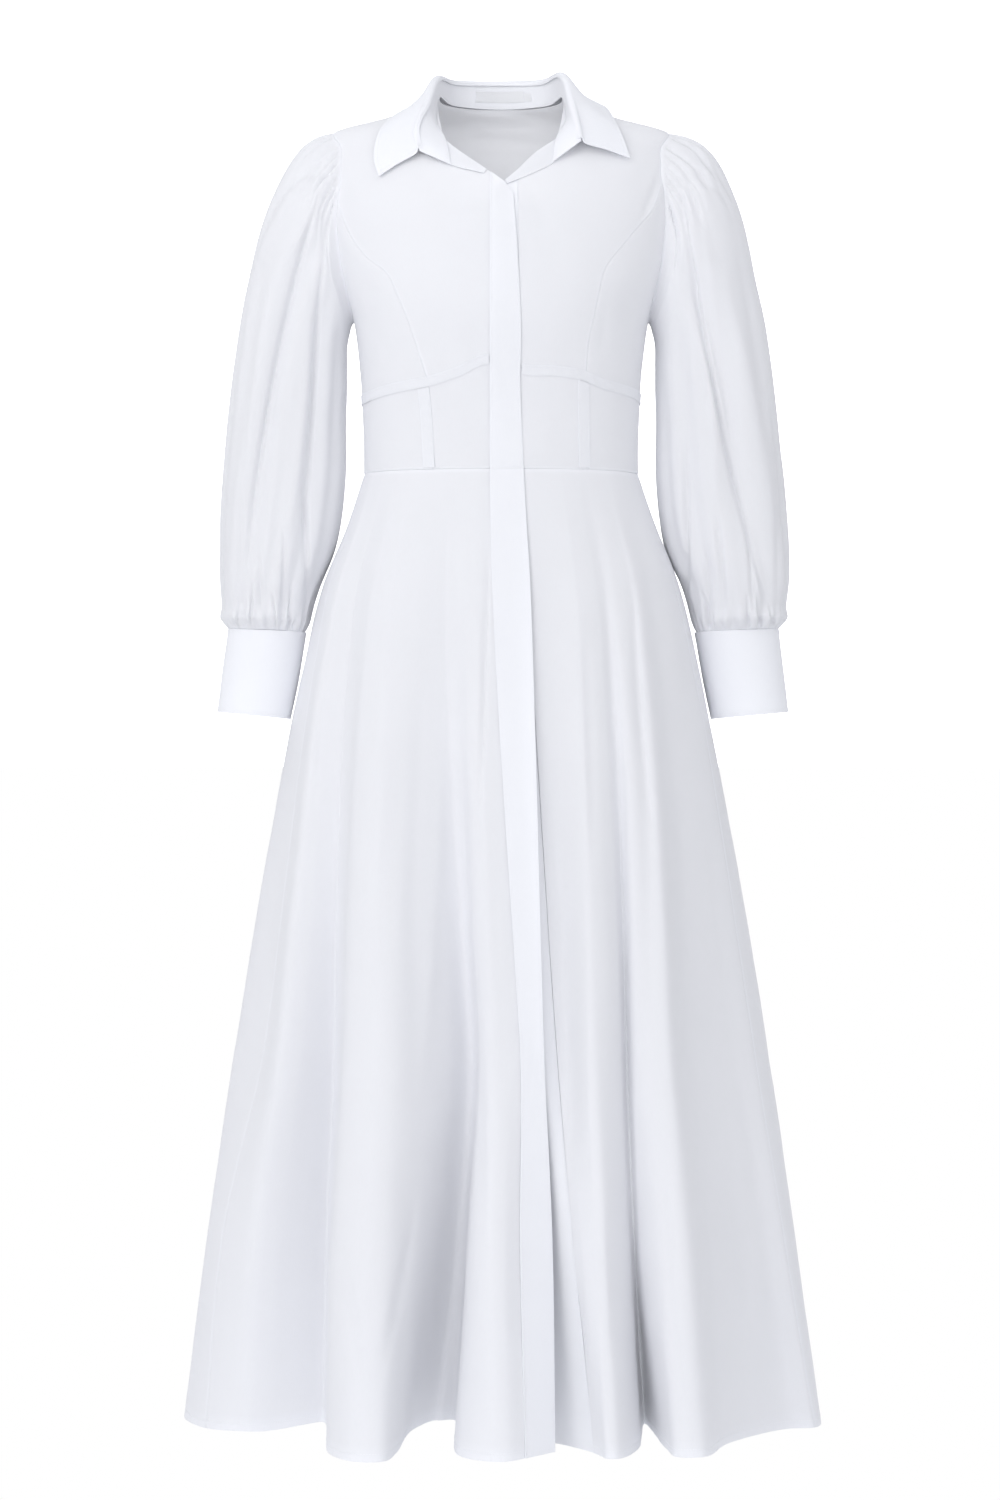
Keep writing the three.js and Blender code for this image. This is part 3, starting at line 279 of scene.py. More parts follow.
SLEEVE_CREASES = {
    "right": table(CREASE_COLUMNS, [
        [-172, -52, -256, -475, -11, 3.6, -4.5, 0.5], [-172, -84, -198, -466, -2, 3.2, -3.4, 0.6],
        [-173, -41, -202, -84, 3, 3.2, -2.8, 1], [-177, -58, -214, -150, 5, 4.8, 2.8, 1],
        [-192, -200, -214, -430, 4, 4.8, 2.5, 1], [-236, -150, -262, -380, -4, 5.6, -2.1, 1],
        [-198, -366, -194, -500, 2, 3.2, -3.6, 0.6], [-218, -420, -220, -515, 2, 2.8, -3.1, 1],
        [-246, -440, -240, -512, 2, 3.2, -2.8, 1], [-262, -380, -264, -500, 2, 4, -2.2, 1],
        [-250, -471, -252, -532, 1, 2, -3, 0.7], [-230, -482, -225, -532, 1, 1.8, -2.8, 0.7],
        [-210, -474, -214, -532, 1, 2, -3, 0.7], [-262, -492, -266, -530, 1, 2, -2.4, 0.8],
    ]),
    "left": table(CREASE_COLUMNS, [
        [176, -52, 267, -498, -8, 3.6, -5, 0.5], [181, -65, 202, -121, 2, 3.2, -3.1, 1],
        [195, -59, 209, -82, 1, 3.2, -2.8, 1], [185, -332, 183, -514, 2, 4, -4.2, 0.6],
        [200, -180, 216, -420, 3, 5.6, 2.5, 1], [236, -140, 266, -330, 4, 5.6, -2.2, 1],
        [214, -400, 222, -512, 2, 3.2, -3.4, 1], [204, -440, 206, -514, 2, 2.8, -2.8, 1],
        [246, -420, 252, -512, 2, 3.2, -3.1, 1], [276, -360, 276, -500, 2, 4, -2.2, 1],
        [200, -482, 211, -532, 1, 1.8, -2.8, 0.7], [246, -486, 247, -532, 1, 1.8, -2.8, 0.7],
        [256, -484, 260, -532, 1, 1.8, -2.6, 0.7], [268, -494, 274, -530, 1, 2, -2.4, 0.8],
    ]),
}
SLEEVE_BACK_CREASES = {
    "right": table(CREASE_COLUMNS, [
        [-176, -60, -250, -440, -8, 4, -3.9, 0.6], [-190, -120, -206, -470, 4, 4, -3.4, 0.7],
        [-230, -160, -262, -400, -4, 5.6, 2.2, 1], [-224, -420, -226, -514, 2, 3.2, -3.1, 1],
        [-198, -430, -204, -514, 2, 3.2, -2.8, 1], [-250, -430, -246, -512, 2, 3.2, -2.8, 1],
    ]),
    "left": table(CREASE_COLUMNS, [
        [176, -62, 254, -450, 8, 4, -3.9, 0.6], [188, -130, 200, -470, -4, 4, -3.4, 0.7],
        [232, -150, 268, -400, 4, 5.6, 2.2, 1], [222, -420, 226, -514, 2, 3.2, -3.1, 1],
        [198, -440, 202, -514, 2, 3.2, -2.8, 1], [256, -430, 254, -512, 2, 3.2, -2.8, 1],
    ]),
}


def read_values(keys, values, at):
    """Reads values on a smooth curve through the keys. Values may have further columns."""
    keys = np.asarray(keys, float)
    values = np.asarray(values, float)
    sign = 1 if keys[-1] > keys[0] else -1
    at = np.asarray(at, float)
    last = len(keys) - 1
    i = np.clip(np.searchsorted(keys * sign, at * sign, side="left") - 1, 0, last - 1)
    before = np.maximum(np.arange(last + 1) - 1, 0)
    after = np.minimum(np.arange(last + 1) + 1, last)
    extra = (1,) * (values.ndim - 1)
    slope = (values[after] - values[before]) / (keys[after] - keys[before]).reshape((-1,) + extra)
    span = keys[i + 1] - keys[i]
    f = np.clip((at - keys[i]) / span, -0.1, 1.1)
    start, end = values[i], values[i + 1]
    start_pull, end_pull = slope[i] * span, slope[i + 1] * span
    bend = start_pull + end_pull - 2 * (end - start)
    lean = 3 * (end - start) - 2 * start_pull - end_pull
    return start + f * (start_pull + f * (lean + f * bend))


def read(rows, key, column, at):
    return read_values(rows[key], rows[column], at)


def lerp(a, b, f):
    return a + (b - a) * f


def smoothstep(value, low, high):
    f = np.clip((value - low) / (high - low), 0, 1)
    return f * f * (3 - 2 * f)


def spline(points, at):
    """A smooth curve through points (..., n, 3), read at places counted from 0 to n - 1."""
    at = np.clip(np.asarray(at, float), 0, points.shape[-2] - 1)
    first = 2 * points[..., :1, :] - points[..., 1:2, :]
    last = 2 * points[..., -1:, :] - points[..., -2:-1, :]
    padded = np.concatenate([first, points, last], axis=-2)
    i = np.minimum(at.astype(int), points.shape[-2] - 2)
    f = (at - i)[..., None]
    p0, p1, p2, p3 = (padded[..., i + k, :] for k in range(4))

    def gap(a, b):
        return np.maximum(((b - a) ** 2).sum(-1, keepdims=True), 1e-9) ** 0.25

    d0, d1, d2 = gap(p0, p1), gap(p1, p2), gap(p2, p3)
    t1 = ((p1 - p0) / d0 - (p2 - p0) / (d0 + d1) + (p2 - p1) / d1) * d1
    t2 = ((p2 - p1) / d1 - (p3 - p1) / (d1 + d2) + (p3 - p2) / d2) * d1
    return p1 + f * (t1 + f * (3 * (p2 - p1) - 2 * t1 - t2 + f * (2 * (p1 - p2) + t1 + t2)))


def shaped(value):
    return np.sign(value) * np.abs(value) ** (2 / SQUARENESS)


def unshaped(value):
    return np.minimum(np.abs(value), 1) ** (SQUARENESS / 2)


def torso_point(angle, level):
    """A point of the body. The angle goes from the centre front towards the wearer's left."""
    angle, level = np.broadcast_arrays(np.asarray(angle, float), np.asarray(level, float))
    turn = np.radians(angle)
    depth = np.where(np.cos(turn) > 0, read(TORSO, "level", "front", level), read(TORSO, "level", "back", level))
    x = read(TORSO, "level", "half", level) * shaped(np.sin(turn))
    return np.stack([x, -depth * shaped(np.cos(turn)), level], axis=-1)


def angle_at_x(x, level):
    return np.degrees(np.arcsin(unshaped(x / read(TORSO, "level", "half", level))))


def angle_at_depth(y, level):
    depth = np.where(y > 0, read(TORSO, "level", "back", level), read(TORSO, "level", "front", level))
    from_middle = np.degrees(np.arccos(unshaped(y / depth)))
    return np.where(y > 0, 180 - from_middle, from_middle)


def armhole_edge(around):
    """The armhole as an angle and level. 0 is the shoulder, 90 the front, 180 the underarm."""
    turn = np.radians(around)
    middle = (ARMHOLE["top"] + ARMHOLE["bottom"]) / 2
    level = middle + (ARMHOLE["top"] - middle) * np.cos(turn)
    reach = np.where(np.sin(turn) > 0, ARMHOLE["front"], ARMHOLE["back"])
    return angle_at_depth(-reach * np.sin(turn), level), level


def shoulder_edge(f):
    x = lerp(NECK_HALF_WIDTH, SHOULDER_HALF_WIDTH, f)
    return 90 + 0 * x, read(SHOULDER, "half", "level", x)


def underbust_level(angle):
    return read(UNDERBUST, "angle", "level", angle)


def seam_place(x, level):
    return angle_at_x(x, level), level + 0 * x


def princess_place(side, level):
    return seam_place(read(PRINCESS[side], "level", "x", level), level)


def joined(first, second, share):
    """Two edges joined end to end, the first taking the given share of the way."""
    def edge(f):
        one = first(np.clip(f / share, 0, 1))
        two = second(np.clip((f - share) / (1 - share), 0, 1))
        return tuple(np.where(f < share, a, b) for a, b in zip(one, two))
    return edge


def patch(top, bottom, start, end, c, r):
    """Fills the patch between four edges, each giving an angle and a level."""
    def at(edge, f):
        return [np.asarray(v, float) for v in edge(np.asarray(f, float))]
    made = []
    for i in range(2):
        across = lerp(at(top, c)[i], at(bottom, c)[i], r)
        down = lerp(at(start, r)[i], at(end, r)[i], c)
        corners = lerp(
            lerp(at(top, 0)[i], at(top, 1)[i], c), lerp(at(bottom, 0)[i], at(bottom, 1)[i], c), r)
        made.append(across + down - corners)
    return made


def steps(count):
    """Even steps from 0 to 1, with two narrow ones at each end for the turn into a seam."""
    one = 1 / count
    even = np.linspace(0, 1, count + 1)
    return np.unique(np.concatenate([even, [0.15 * one, 0.45 * one, 1 - 0.45 * one, 1 - 0.15 * one]]))


def mesh_steps(columns, rows):
    return np.meshgrid(steps(columns), steps(rows))


def on_side(side, angle, level):
    """Turns a panel worked out for the wearer's left into the one on the given side."""
    if side == "right":
        return -angle[:, ::-1], level[:, ::-1]
    return angle, level


def value_noise(points, size, seed):
    """Smooth noise from -1 to 1 over points, with bumps about as wide as size."""
    cells = np.random.RandomState(seed).uniform(-1, 1, (17, 17, 17))
    p = points / size
    i = np.floor(p).astype(int)
    f = p - i
    f = f * f * (3 - 2 * f)
    total = np.zeros(points.shape[:-1])
    for corner in range(8):
        d = [(corner >> k) & 1 for k in range(3)]
        weight = np.ones_like(total)
        for k in range(3):
            weight = weight * (f[..., k] if d[k] else 1 - f[..., k])
        total += weight * cells[tuple((i[..., k] + d[k]) % 17 for k in range(3))]
    return total


def creases(points, rows):
    """The depth of soft creases on the points, each crease being placed as seen from the front."""
    scale = CAMERA_DISTANCE / (CAMERA_DISTANCE + points[..., 1])
    middle_level = -642
    x = points[..., 0] * scale
    z = middle_level + (points[..., 2] - middle_level) * scale
    total = np.zeros(x.shape)
    for i in range(len(rows["row"])):
        x1, z1, x2, z2, bow, width, depth, sharp = (rows[k][i] for k in CREASE_COLUMNS)
        way = np.array([x2 - x1, z2 - z1])
        length = np.hypot(*way)
        way /= length
        along = ((x - x1) * way[0] + (z - z1) * way[1]) / length
        inside = (along > 0) & (along < 1)
        f = np.clip(along, 0, 1)
        off = (x - x1) * way[1] * -1 + (z - z1) * way[0] + bow * 4 * f * (1 - f) * np.sign(way[1])
        spread = np.where(off > 0, width * sharp, width)
        total += np.where(inside, depth * np.sin(np.pi * f) ** 0.7 * np.exp(-((off / spread) ** 2)), 0)
    return total


def front_and_back(points, front_rows, back_rows, middle=0):
    """Creases of the front where a point lies before the middle, and of the back behind it."""
    before = smoothstep(-(points[..., 1] - middle), -6, 14)
    behind = smoothstep(points[..., 1] - middle, -6, 14)
    return creases(points, front_rows) * before + creases(points, back_rows) * behind


# Skirt

def front_lines(rows):
    made = []
    for i in range(len(rows["row"])):
        shifts = [-rows["round"][i], rows["round"][i]] if rows["round"][i] else [0]
        for shift in shifts:
            turn = math.radians(rows["waist"][i] + ROUND_WAIST_SHARE * shift)
            across = [float(shaped(math.sin(turn)))]
            depth = [-float(shaped(math.cos(turn)))]
            for level, name, growth in (
                (KNEE_LEVEL, "knee", ROUND_GROWTH["knee"]),
                (SHIN_LEVEL, "shin", ROUND_GROWTH["shin"]),
                (HEM_LEVEL, "hem", 1),
            ):
                x = rows[name + "_x"][i] + growth * shift
                across.append(float(x / read(SKIRT, "level", "half", level)))
                depth.append(float(rows[name + "_y"][i] / read(SKIRT, "level", "front", level)))
            made.append((across, depth, rows["lift"][i]))
    return made


def back_lines(rows):
    made = []
    for i in range(len(rows["row"])):
        shifts = [-rows["round"][i], rows["round"][i]] if rows["round"][i] else [0]
        for shift in shifts:
            turn = math.radians(rows["angle"][i] + shift)
            reach = 1 + (rows["reach"][i] - 1) * FOLD_GROWTH
            made.append((
                reach * shaped(math.sin(turn)), -reach * shaped(math.cos(turn)), rows["lift"][i]))
    return made


left_lines = front_lines(LEFT_FRONT_FOLDS)
rear_lines = back_lines(BACK_FOLDS)
skirt_lines = left_lines + rear_lines + front_lines(RIGHT_FRONT_FOLDS)
LINE_ACROSS = np.array([line[0] for line in skirt_lines]).T
LINE_DEPTH = np.array([line[1] for line in skirt_lines]).T
LINE_LIFT = np.array([line[2] for line in skirt_lines])
LINE_LEVELS = np.array([WAIST_LEVEL, KNEE_LEVEL, SHIN_LEVEL, HEM_LEVEL], float)
UNDERLAP_STITCH_LINE = 2
LEFT_SEAM_LINE = len(left_lines) - 1
RIGHT_SEAM_LINE = len(left_lines) + len(rear_lines)
LAST_LINE = len(skirt_lines) - 1
OVERLAP_STITCH_LINE = LAST_LINE - 1


def skirt_ring(level):
    across = read_values(LINE_LEVELS, LINE_ACROSS, level)
    depth = read_values(LINE_LEVELS, LINE_DEPTH, level)
    reach = np.where(depth > 0, read(SKIRT, "level", "back", level), read(SKIRT, "level", "front", level))
    fall = (WAIST_LEVEL - level) / (WAIST_LEVEL - HEM_LEVEL)
    x = across * read(SKIRT, "level", "half", level)
    return np.stack([x, depth * reach, level + LINE_LIFT * fall * fall], axis=-1)


def skirt_grid(lines, levels):
    """The skirt's points at each level and along its fold lines, row by row."""
    lines = np.broadcast_to(lines, (len(levels), np.shape(lines)[-1]))
    return np.stack([spline(skirt_ring(level), lines[r]) for r, level in enumerate(levels)])


def skirt_levels(count):
    return lerp(WAIST_LEVEL, HEM_LEVEL, steps(count) ** 1.1)


# Arms

def arm_section(form, side, around, row):
    turn = np.radians(around)
    sign = SIDES[side]
    outer_x = sign * read(form, "row", "outer_" + side, row)
    inner_x = sign * read(form, "row", "inner_" + side, row)
    outer_z = read(form, "row", "outer_level", row)
    inner_z = read(form, "row", "inner_level", row)
    depth = read(form, "row", "depth", row)
    back = read(form, "row", "back", row)
    return np.stack([
        (outer_x + inner_x) / 2 + (outer_x - inner_x) / 2 * np.cos(turn),
        back - depth * np.sin(turn),
        (outer_z + inner_z) / 2 + (outer_z - inner_z) / 2 * np.cos(turn),
    ], axis=-1)


def angle_between(a, b):
    return (a - b + 540) % 360 - 180


def gathers(around, distance, count, reach, low, high, depth, sweep, seed):
    """Short pleats that run out from a gathered seam, each with its own place and length."""
    chance = np.random.RandomState(seed)
    total = np.zeros(around.shape)
    for i in range(count):
        at = lerp(low, high, (i + 0.5 + chance.uniform(-0.3, 0.3)) / count)
        length = reach * chance.uniform(0.45, 1.25)
        width = (high - low) / count * chance.uniform(0.2, 0.34)
        lean = chance.uniform(-4, 4) + sweep * at / max(abs(low), abs(high))
        away = angle_between(around, at + lean * np.sqrt(distance / reach))
        fade = np.exp(-((distance / length) ** 2))
        spread = width * (1 + distance / reach)
        total -= depth * chance.uniform(0.6, 1.2) * fade * np.exp(-((away / spread) ** 2))
    return total


def sleeve_ripple(side, around, row):
    rows = SLEEVE_FOLDS[side]
    last_row = len(SLEEVE["row"]) - 1
    total = np.zeros(around.shape)
    for i in range(len(rows["row"])):
        f = (row - rows["from"][i]) / (rows["to"][i] - rows["from"][i])
        inside = (f > 0) & (f < 1)
        f = np.clip(f, 0, 1)
        away = angle_between(around, lerp(rows["start_angle"][i], rows["end_angle"][i], f))
        swell = rows["depth"][i] * np.sin(np.pi * f) ** 0.7 * np.exp(-((away / rows["width"][i]) ** 2))
        total += np.where(inside, swell, 0)
    cap = gathers(around, row * 18, 18, 40, -66, 66, 3.4, 52, 3 + SIDES[side])
    wrist = gathers(around, (last_row - row) * 20, 30, 30, 0, 360, 5.2, 0, 12 + SIDES[side])
    return total + cap * smoothstep(row, 0.02, 0.22) + wrist * smoothstep(last_row - row, 0.05, 0.3)


def sleeve_grid(side, around, row):
    last_row = len(SLEEVE["row"]) - 1
    section = arm_section(SLEEVE, side, around, row)
    angle, level = armhole_edge(around % 360)
    seam = torso_point(SIDES[side] * angle, level)
    tucked = np.exp(-((row / 0.05) ** 2))
    seam -= torso_normal(SIDES[side] * angle, level) * (0.95 * tucked)[..., None]
    seam[..., 0] += SIDES[side] * (0.4 - 2.4 * tucked)
    share = smoothstep(row, 0, SLEEVE_BLEND_ROWS)[..., None]
    start = seam + section - arm_section(SLEEVE, side, around, 0 * row)
    point = lerp(start, section, share)
    tuck = smoothstep(row, last_row - 0.35, last_row)[..., None]
    point = lerp(point, arm_section(CUFF, side, around, 0 * row), tuck)
    centre = (arm_section(SLEEVE, side, 0 * around, row) + arm_section(SLEEVE, side, 0 * around + 180, row)) / 2
    out = point - centre
    out /= np.linalg.norm(out, axis=-1, keepdims=True)
    facing_out = np.cos(np.radians(around))
    puff = 5 * lerp(0.2, 1, smoothstep(facing_out, -1, 0)) * np.exp(-((((last_row - row) - 0.6) / 0.42) ** 2))
    head = 1.2 * np.exp(-(((row - 0.45) / 0.4) ** 2)) * np.maximum(0, facing_out)
    ripple = sleeve_ripple(side, around, row) + puff + head - 1.4 * tuck[..., 0]
    return point + out * ripple[..., None]


# Collar

def torso_normal(angle, level):
    along = torso_point(angle + 0.5, level) - torso_point(angle - 0.5, level)
    up = torso_point(angle, level + 1) - torso_point(angle, level - 1)
    normal = np.cross(along, up)
    return normal / np.linalg.norm(normal, axis=-1, keepdims=True)


def lifted_torso(angle, level, lift):
    return torso_point(angle, level) + torso_normal(angle, level) * np.asarray(lift, float)[..., None]


COLLAR_LAST = len(COLLAR["row"]) - 1
SEAM_POINTS = lifted_torso(COLLAR["seam_angle"], COLLAR["seam_level"], COLLAR["seam_lift"])
EDGE_POINTS = lifted_torso(COLLAR["edge_angle"], COLLAR["edge_level"], COLLAR["edge_lift"])
ROLL_POINTS = np.stack([COLLAR["roll_x"], COLLAR["roll_y"], COLLAR["roll_z"]], axis=-1)


def stand_grid(k, h):
    seam, roll = spline(SEAM_POINTS, k), spline(ROLL_POINTS, k)
    return lerp(seam[None], roll[None], h[:, None, None])


def fall_grid(k, h):
    """The fall turns over the stand's top edge and runs down to its own free edge."""
    seam, roll, edge = spline(SEAM_POINTS, k), spline(ROLL_POINTS, k), spline(EDGE_POINTS, k)
    rise = roll - seam
    rise /= np.linalg.norm(rise, axis=-1, keepdims=True)
    out = edge - roll
    away = out - rise * (out * rise).sum(-1, keepdims=True)
    away /= np.linalg.norm(away, axis=-1, keepdims=True)
    bulge = read(COLLAR, "row", "bulge", k)[:, None]
    lip = roll - 2.6 * rise - 2.7 * away
    over = roll + 0.4 * rise - 2.4 * away
    top = roll + 1.7 * rise - 0.4 * away
    shoulder = roll + 0.7 * rise + 3.2 * away
    middle = lerp(roll, edge, 0.5) + 0.5 * bulge * rise + 0.8 * bulge * away
    curve = np.stack([lip, over, top, shoulder, middle, edge], axis=1)
    return spline(curve, 5 * h).transpose(1, 0, 2)


# Walls of cloth

walls = {}


def grid_normals(points, is_ring, flip):
    if is_ring:
        across = np.roll(points, -1, axis=1) - np.roll(points, 1, axis=1)
    else:
        across = np.gradient(points, axis=1)
    normal = np.cross(np.gradient(points, axis=0), across)
    normal /= np.linalg.norm(normal, axis=-1, keepdims=True) + 1e-12
    return -normal if flip else normal


def arc(points, axis):
    """Length along a grid from its first row or column, and that from its last."""
    gap = np.linalg.norm(np.diff(points, axis=axis), axis=-1)
    start = np.concatenate([np.zeros_like(np.take(gap, [0], axis=axis)), np.cumsum(gap, axis=axis)], axis=axis)
    return start, np.take(start, [-1], axis=axis) - start


def closed_mesh(name, outer, inner, is_ring, flip, layers_and_shade):
    rows, across = outer.shape[0] - 1, outer.shape[1]
    spans = across if is_ring else across - 1
    closed = np.concatenate([outer, outer[:, :1]], axis=1) if is_ring else outer
    u = arc(closed, 1)[0]
    u = u - (0 if is_ring else u[:, spans // 2:spans // 2 + 1])
    v = np.broadcast_to(arc(closed, 0)[0].mean(axis=1, keepdims=True), u.shape)
    uv = np.stack([u, -v], axis=-1) * MM
    r, c = np.meshgrid(np.arange(rows), np.arange(spans), indexing="ij")
    r, c = r.ravel(), c.ravel()
    edge, side = np.arange(spans), np.arange(0 if is_ring else rows)
    front, rear = 0, 1
    corners = [
        [(front, r, c), (front, r + 1, c), (front, r + 1, c + 1), (front, r, c + 1)],
        [(rear, r, c), (rear, r, c + 1), (rear, r + 1, c + 1), (rear, r + 1, c)],
        [(front, 0 * edge, edge), (front, 0 * edge, edge + 1), (rear, 0 * edge, edge + 1), (rear, 0 * edge, edge)],
        [(front, 0 * edge + rows, edge + 1), (front, 0 * edge + rows, edge),
         (rear, 0 * edge + rows, edge), (rear, 0 * edge + rows, edge + 1)],
        [(front, side + 1, 0 * side), (front, side, 0 * side), (rear, side, 0 * side), (rear, side + 1, 0 * side)],
        [(front, side, 0 * side + spans), (front, side + 1, 0 * side + spans),
         (rear, side + 1, 0 * side + spans), (rear, side, 0 * side + spans)],
    ]
    ids = np.concatenate([
        np.stack([layer * outer[..., 0].size + row * across + col % across for layer, row, col in quad], axis=1)
        for quad in corners])
    cloth = np.concatenate([
        np.stack([uv[row, np.minimum(col, spans)] for _, row, col in quad], axis=1) for quad in corners])
    if flip:
        ids, cloth = ids[:, ::-1], cloth[:, ::-1]
    points = np.concatenate([outer.reshape(-1, 3), inner.reshape(-1, 3)]) * MM
    mesh = bpy.data.meshes.new(name)
    mesh.vertices.add(len(points))
    mesh.vertices.foreach_set("co", points.ravel())
    mesh.loops.add(ids.size)
    mesh.loops.foreach_set("vertex_index", ids.astype(np.int32).ravel())
    mesh.polygons.add(len(ids))
    mesh.polygons.foreach_set("loop_start", np.arange(0, ids.size, 4, dtype=np.int32))
    mesh.polygons.foreach_set("use_smooth", np.ones(len(ids), bool))
    mesh.update(calc_edges=True)
    mesh.uv_layers.new(name="cloth").data.foreach_set("uv", cloth.ravel())
    # Per-point share of doubled cloth, which the finish turns into painted shade: greyer where one layer lets the
    # shaded inside show
    mesh.attributes.new("layers_and_shade", "FLOAT", "POINT").data.foreach_set(
        "value", np.concatenate([layers_and_shade.ravel(), layers_and_shade.ravel()]))
    mesh.set_sharp_from_angle(angle=math.radians(55))
    mesh.validate()
    return mesh


def add_piece(name, mesh, material, node=None):
    mesh.materials.append(material)
    piece = bpy.data.objects.new(name, mesh)
    bpy.context.scene.collection.objects.link(piece)
    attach(piece, BODY)
    if node:
        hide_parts(node)
    return piece


def cloth_wall(node, points, *, slot="cloth", lift=0.0, thickness=None, is_ring=False, flip=False,
               doubled=None, base_layers_and_shade=0.0, dips=(), puckers=None, relief=None, held="hung", pieces=()):
    """Makes one cut piece as a thin wall on its solid's form, in millimetres."""
    settings = bpy.context.scene.dress_cloth
    if thickness is None:
        thickness = settings.thickness / MM
    normal = grid_normals(points, is_ring, flip)
    from_start, from_end = arc(points, 1)
    from_top, from_bottom = arc(points, 0)
    distance = {"start": from_start, "end": from_end, "top": from_top, "bottom": from_bottom}
    along = {"start": from_top, "end": from_top, "top": from_start, "bottom": from_start}
    offset = np.full(points.shape[:2], float(lift))
    offset += settings.crumple / MM * value_noise(points, 34, len(node))
    if relief is not None:
        offset += settings.crease_strength * relief
    for side in dips:
        offset -= 0.35 * np.exp(-((distance[side] / 0.9) ** 2))
    for side, size in (puckers or {}).items():
        s = along[side]
        wave = np.sin(s / 1.9 + 1.7 * np.sin(s / 23)) + 0.6 * np.sin(s / 3.7 + 2 * np.sin(s / 41))
        offset += size * wave * np.exp(-((distance[side] / 5) ** 2))
    # Painted shade: a share of 0 gives the greyer colour of one thin layer with the shaded inside showing through, 1
    # the whiter colour of doubled cloth
    layers_and_shade = np.full(points.shape[:2], float(base_layers_and_shade))
    thick = np.full(points.shape[:2], float(thickness))
    # Doubled edges are thicker and are painted lighter, with less painted shade from inside
    for side, width in (doubled or {}).items():
        inside = 1 - smoothstep(distance[side], width - 0.4, width + 0.6)
        layers_and_shade = np.maximum(layers_and_shade, SEAM_LESS_SHADE_SHARE * inside)
        thick = thick + 0.35 * inside
    outer = points + normal * offset[..., None]
    inner = outer - normal * thick[..., None]
    mesh = closed_mesh(node, outer, inner, is_ring, flip, layers_and_shade)
    walls[node] = (outer, normal)
    width = from_start[:, -1].max() + (np.linalg.norm(points[:, -1] - points[:, 0], axis=-1).max() if is_ring else 0)
    length = from_top[-1].max()
    piece = add_piece(node + "_cloth", mesh, finishes[slot], node)
    area = sum(p.area for p in mesh.polygons) / 2
    print(f"PIECE {node} {len(mesh.polygons) * 2} triangles {width * MM:.3f} x {length * MM:.3f} area {area:.4f}")
    return piece


# Finishes

finishes = {}


def node_at(tree, kind, x, y, **values):
    node = tree.nodes.new(kind)
    node.location = (x, y)
    for key, value in values.items():
        if key.startswith("in_"):
            node.inputs[int(key[3:])].default_value = value
        else:
            setattr(node, key, value)
    return node


def new_finish(name):
    material = bpy.data.materials.new(name)
    material.use_nodes = True
    tree = material.node_tree
    surface = next(n for n in tree.nodes if n.type == "BSDF_PRINCIPLED")
    return material, tree, surface


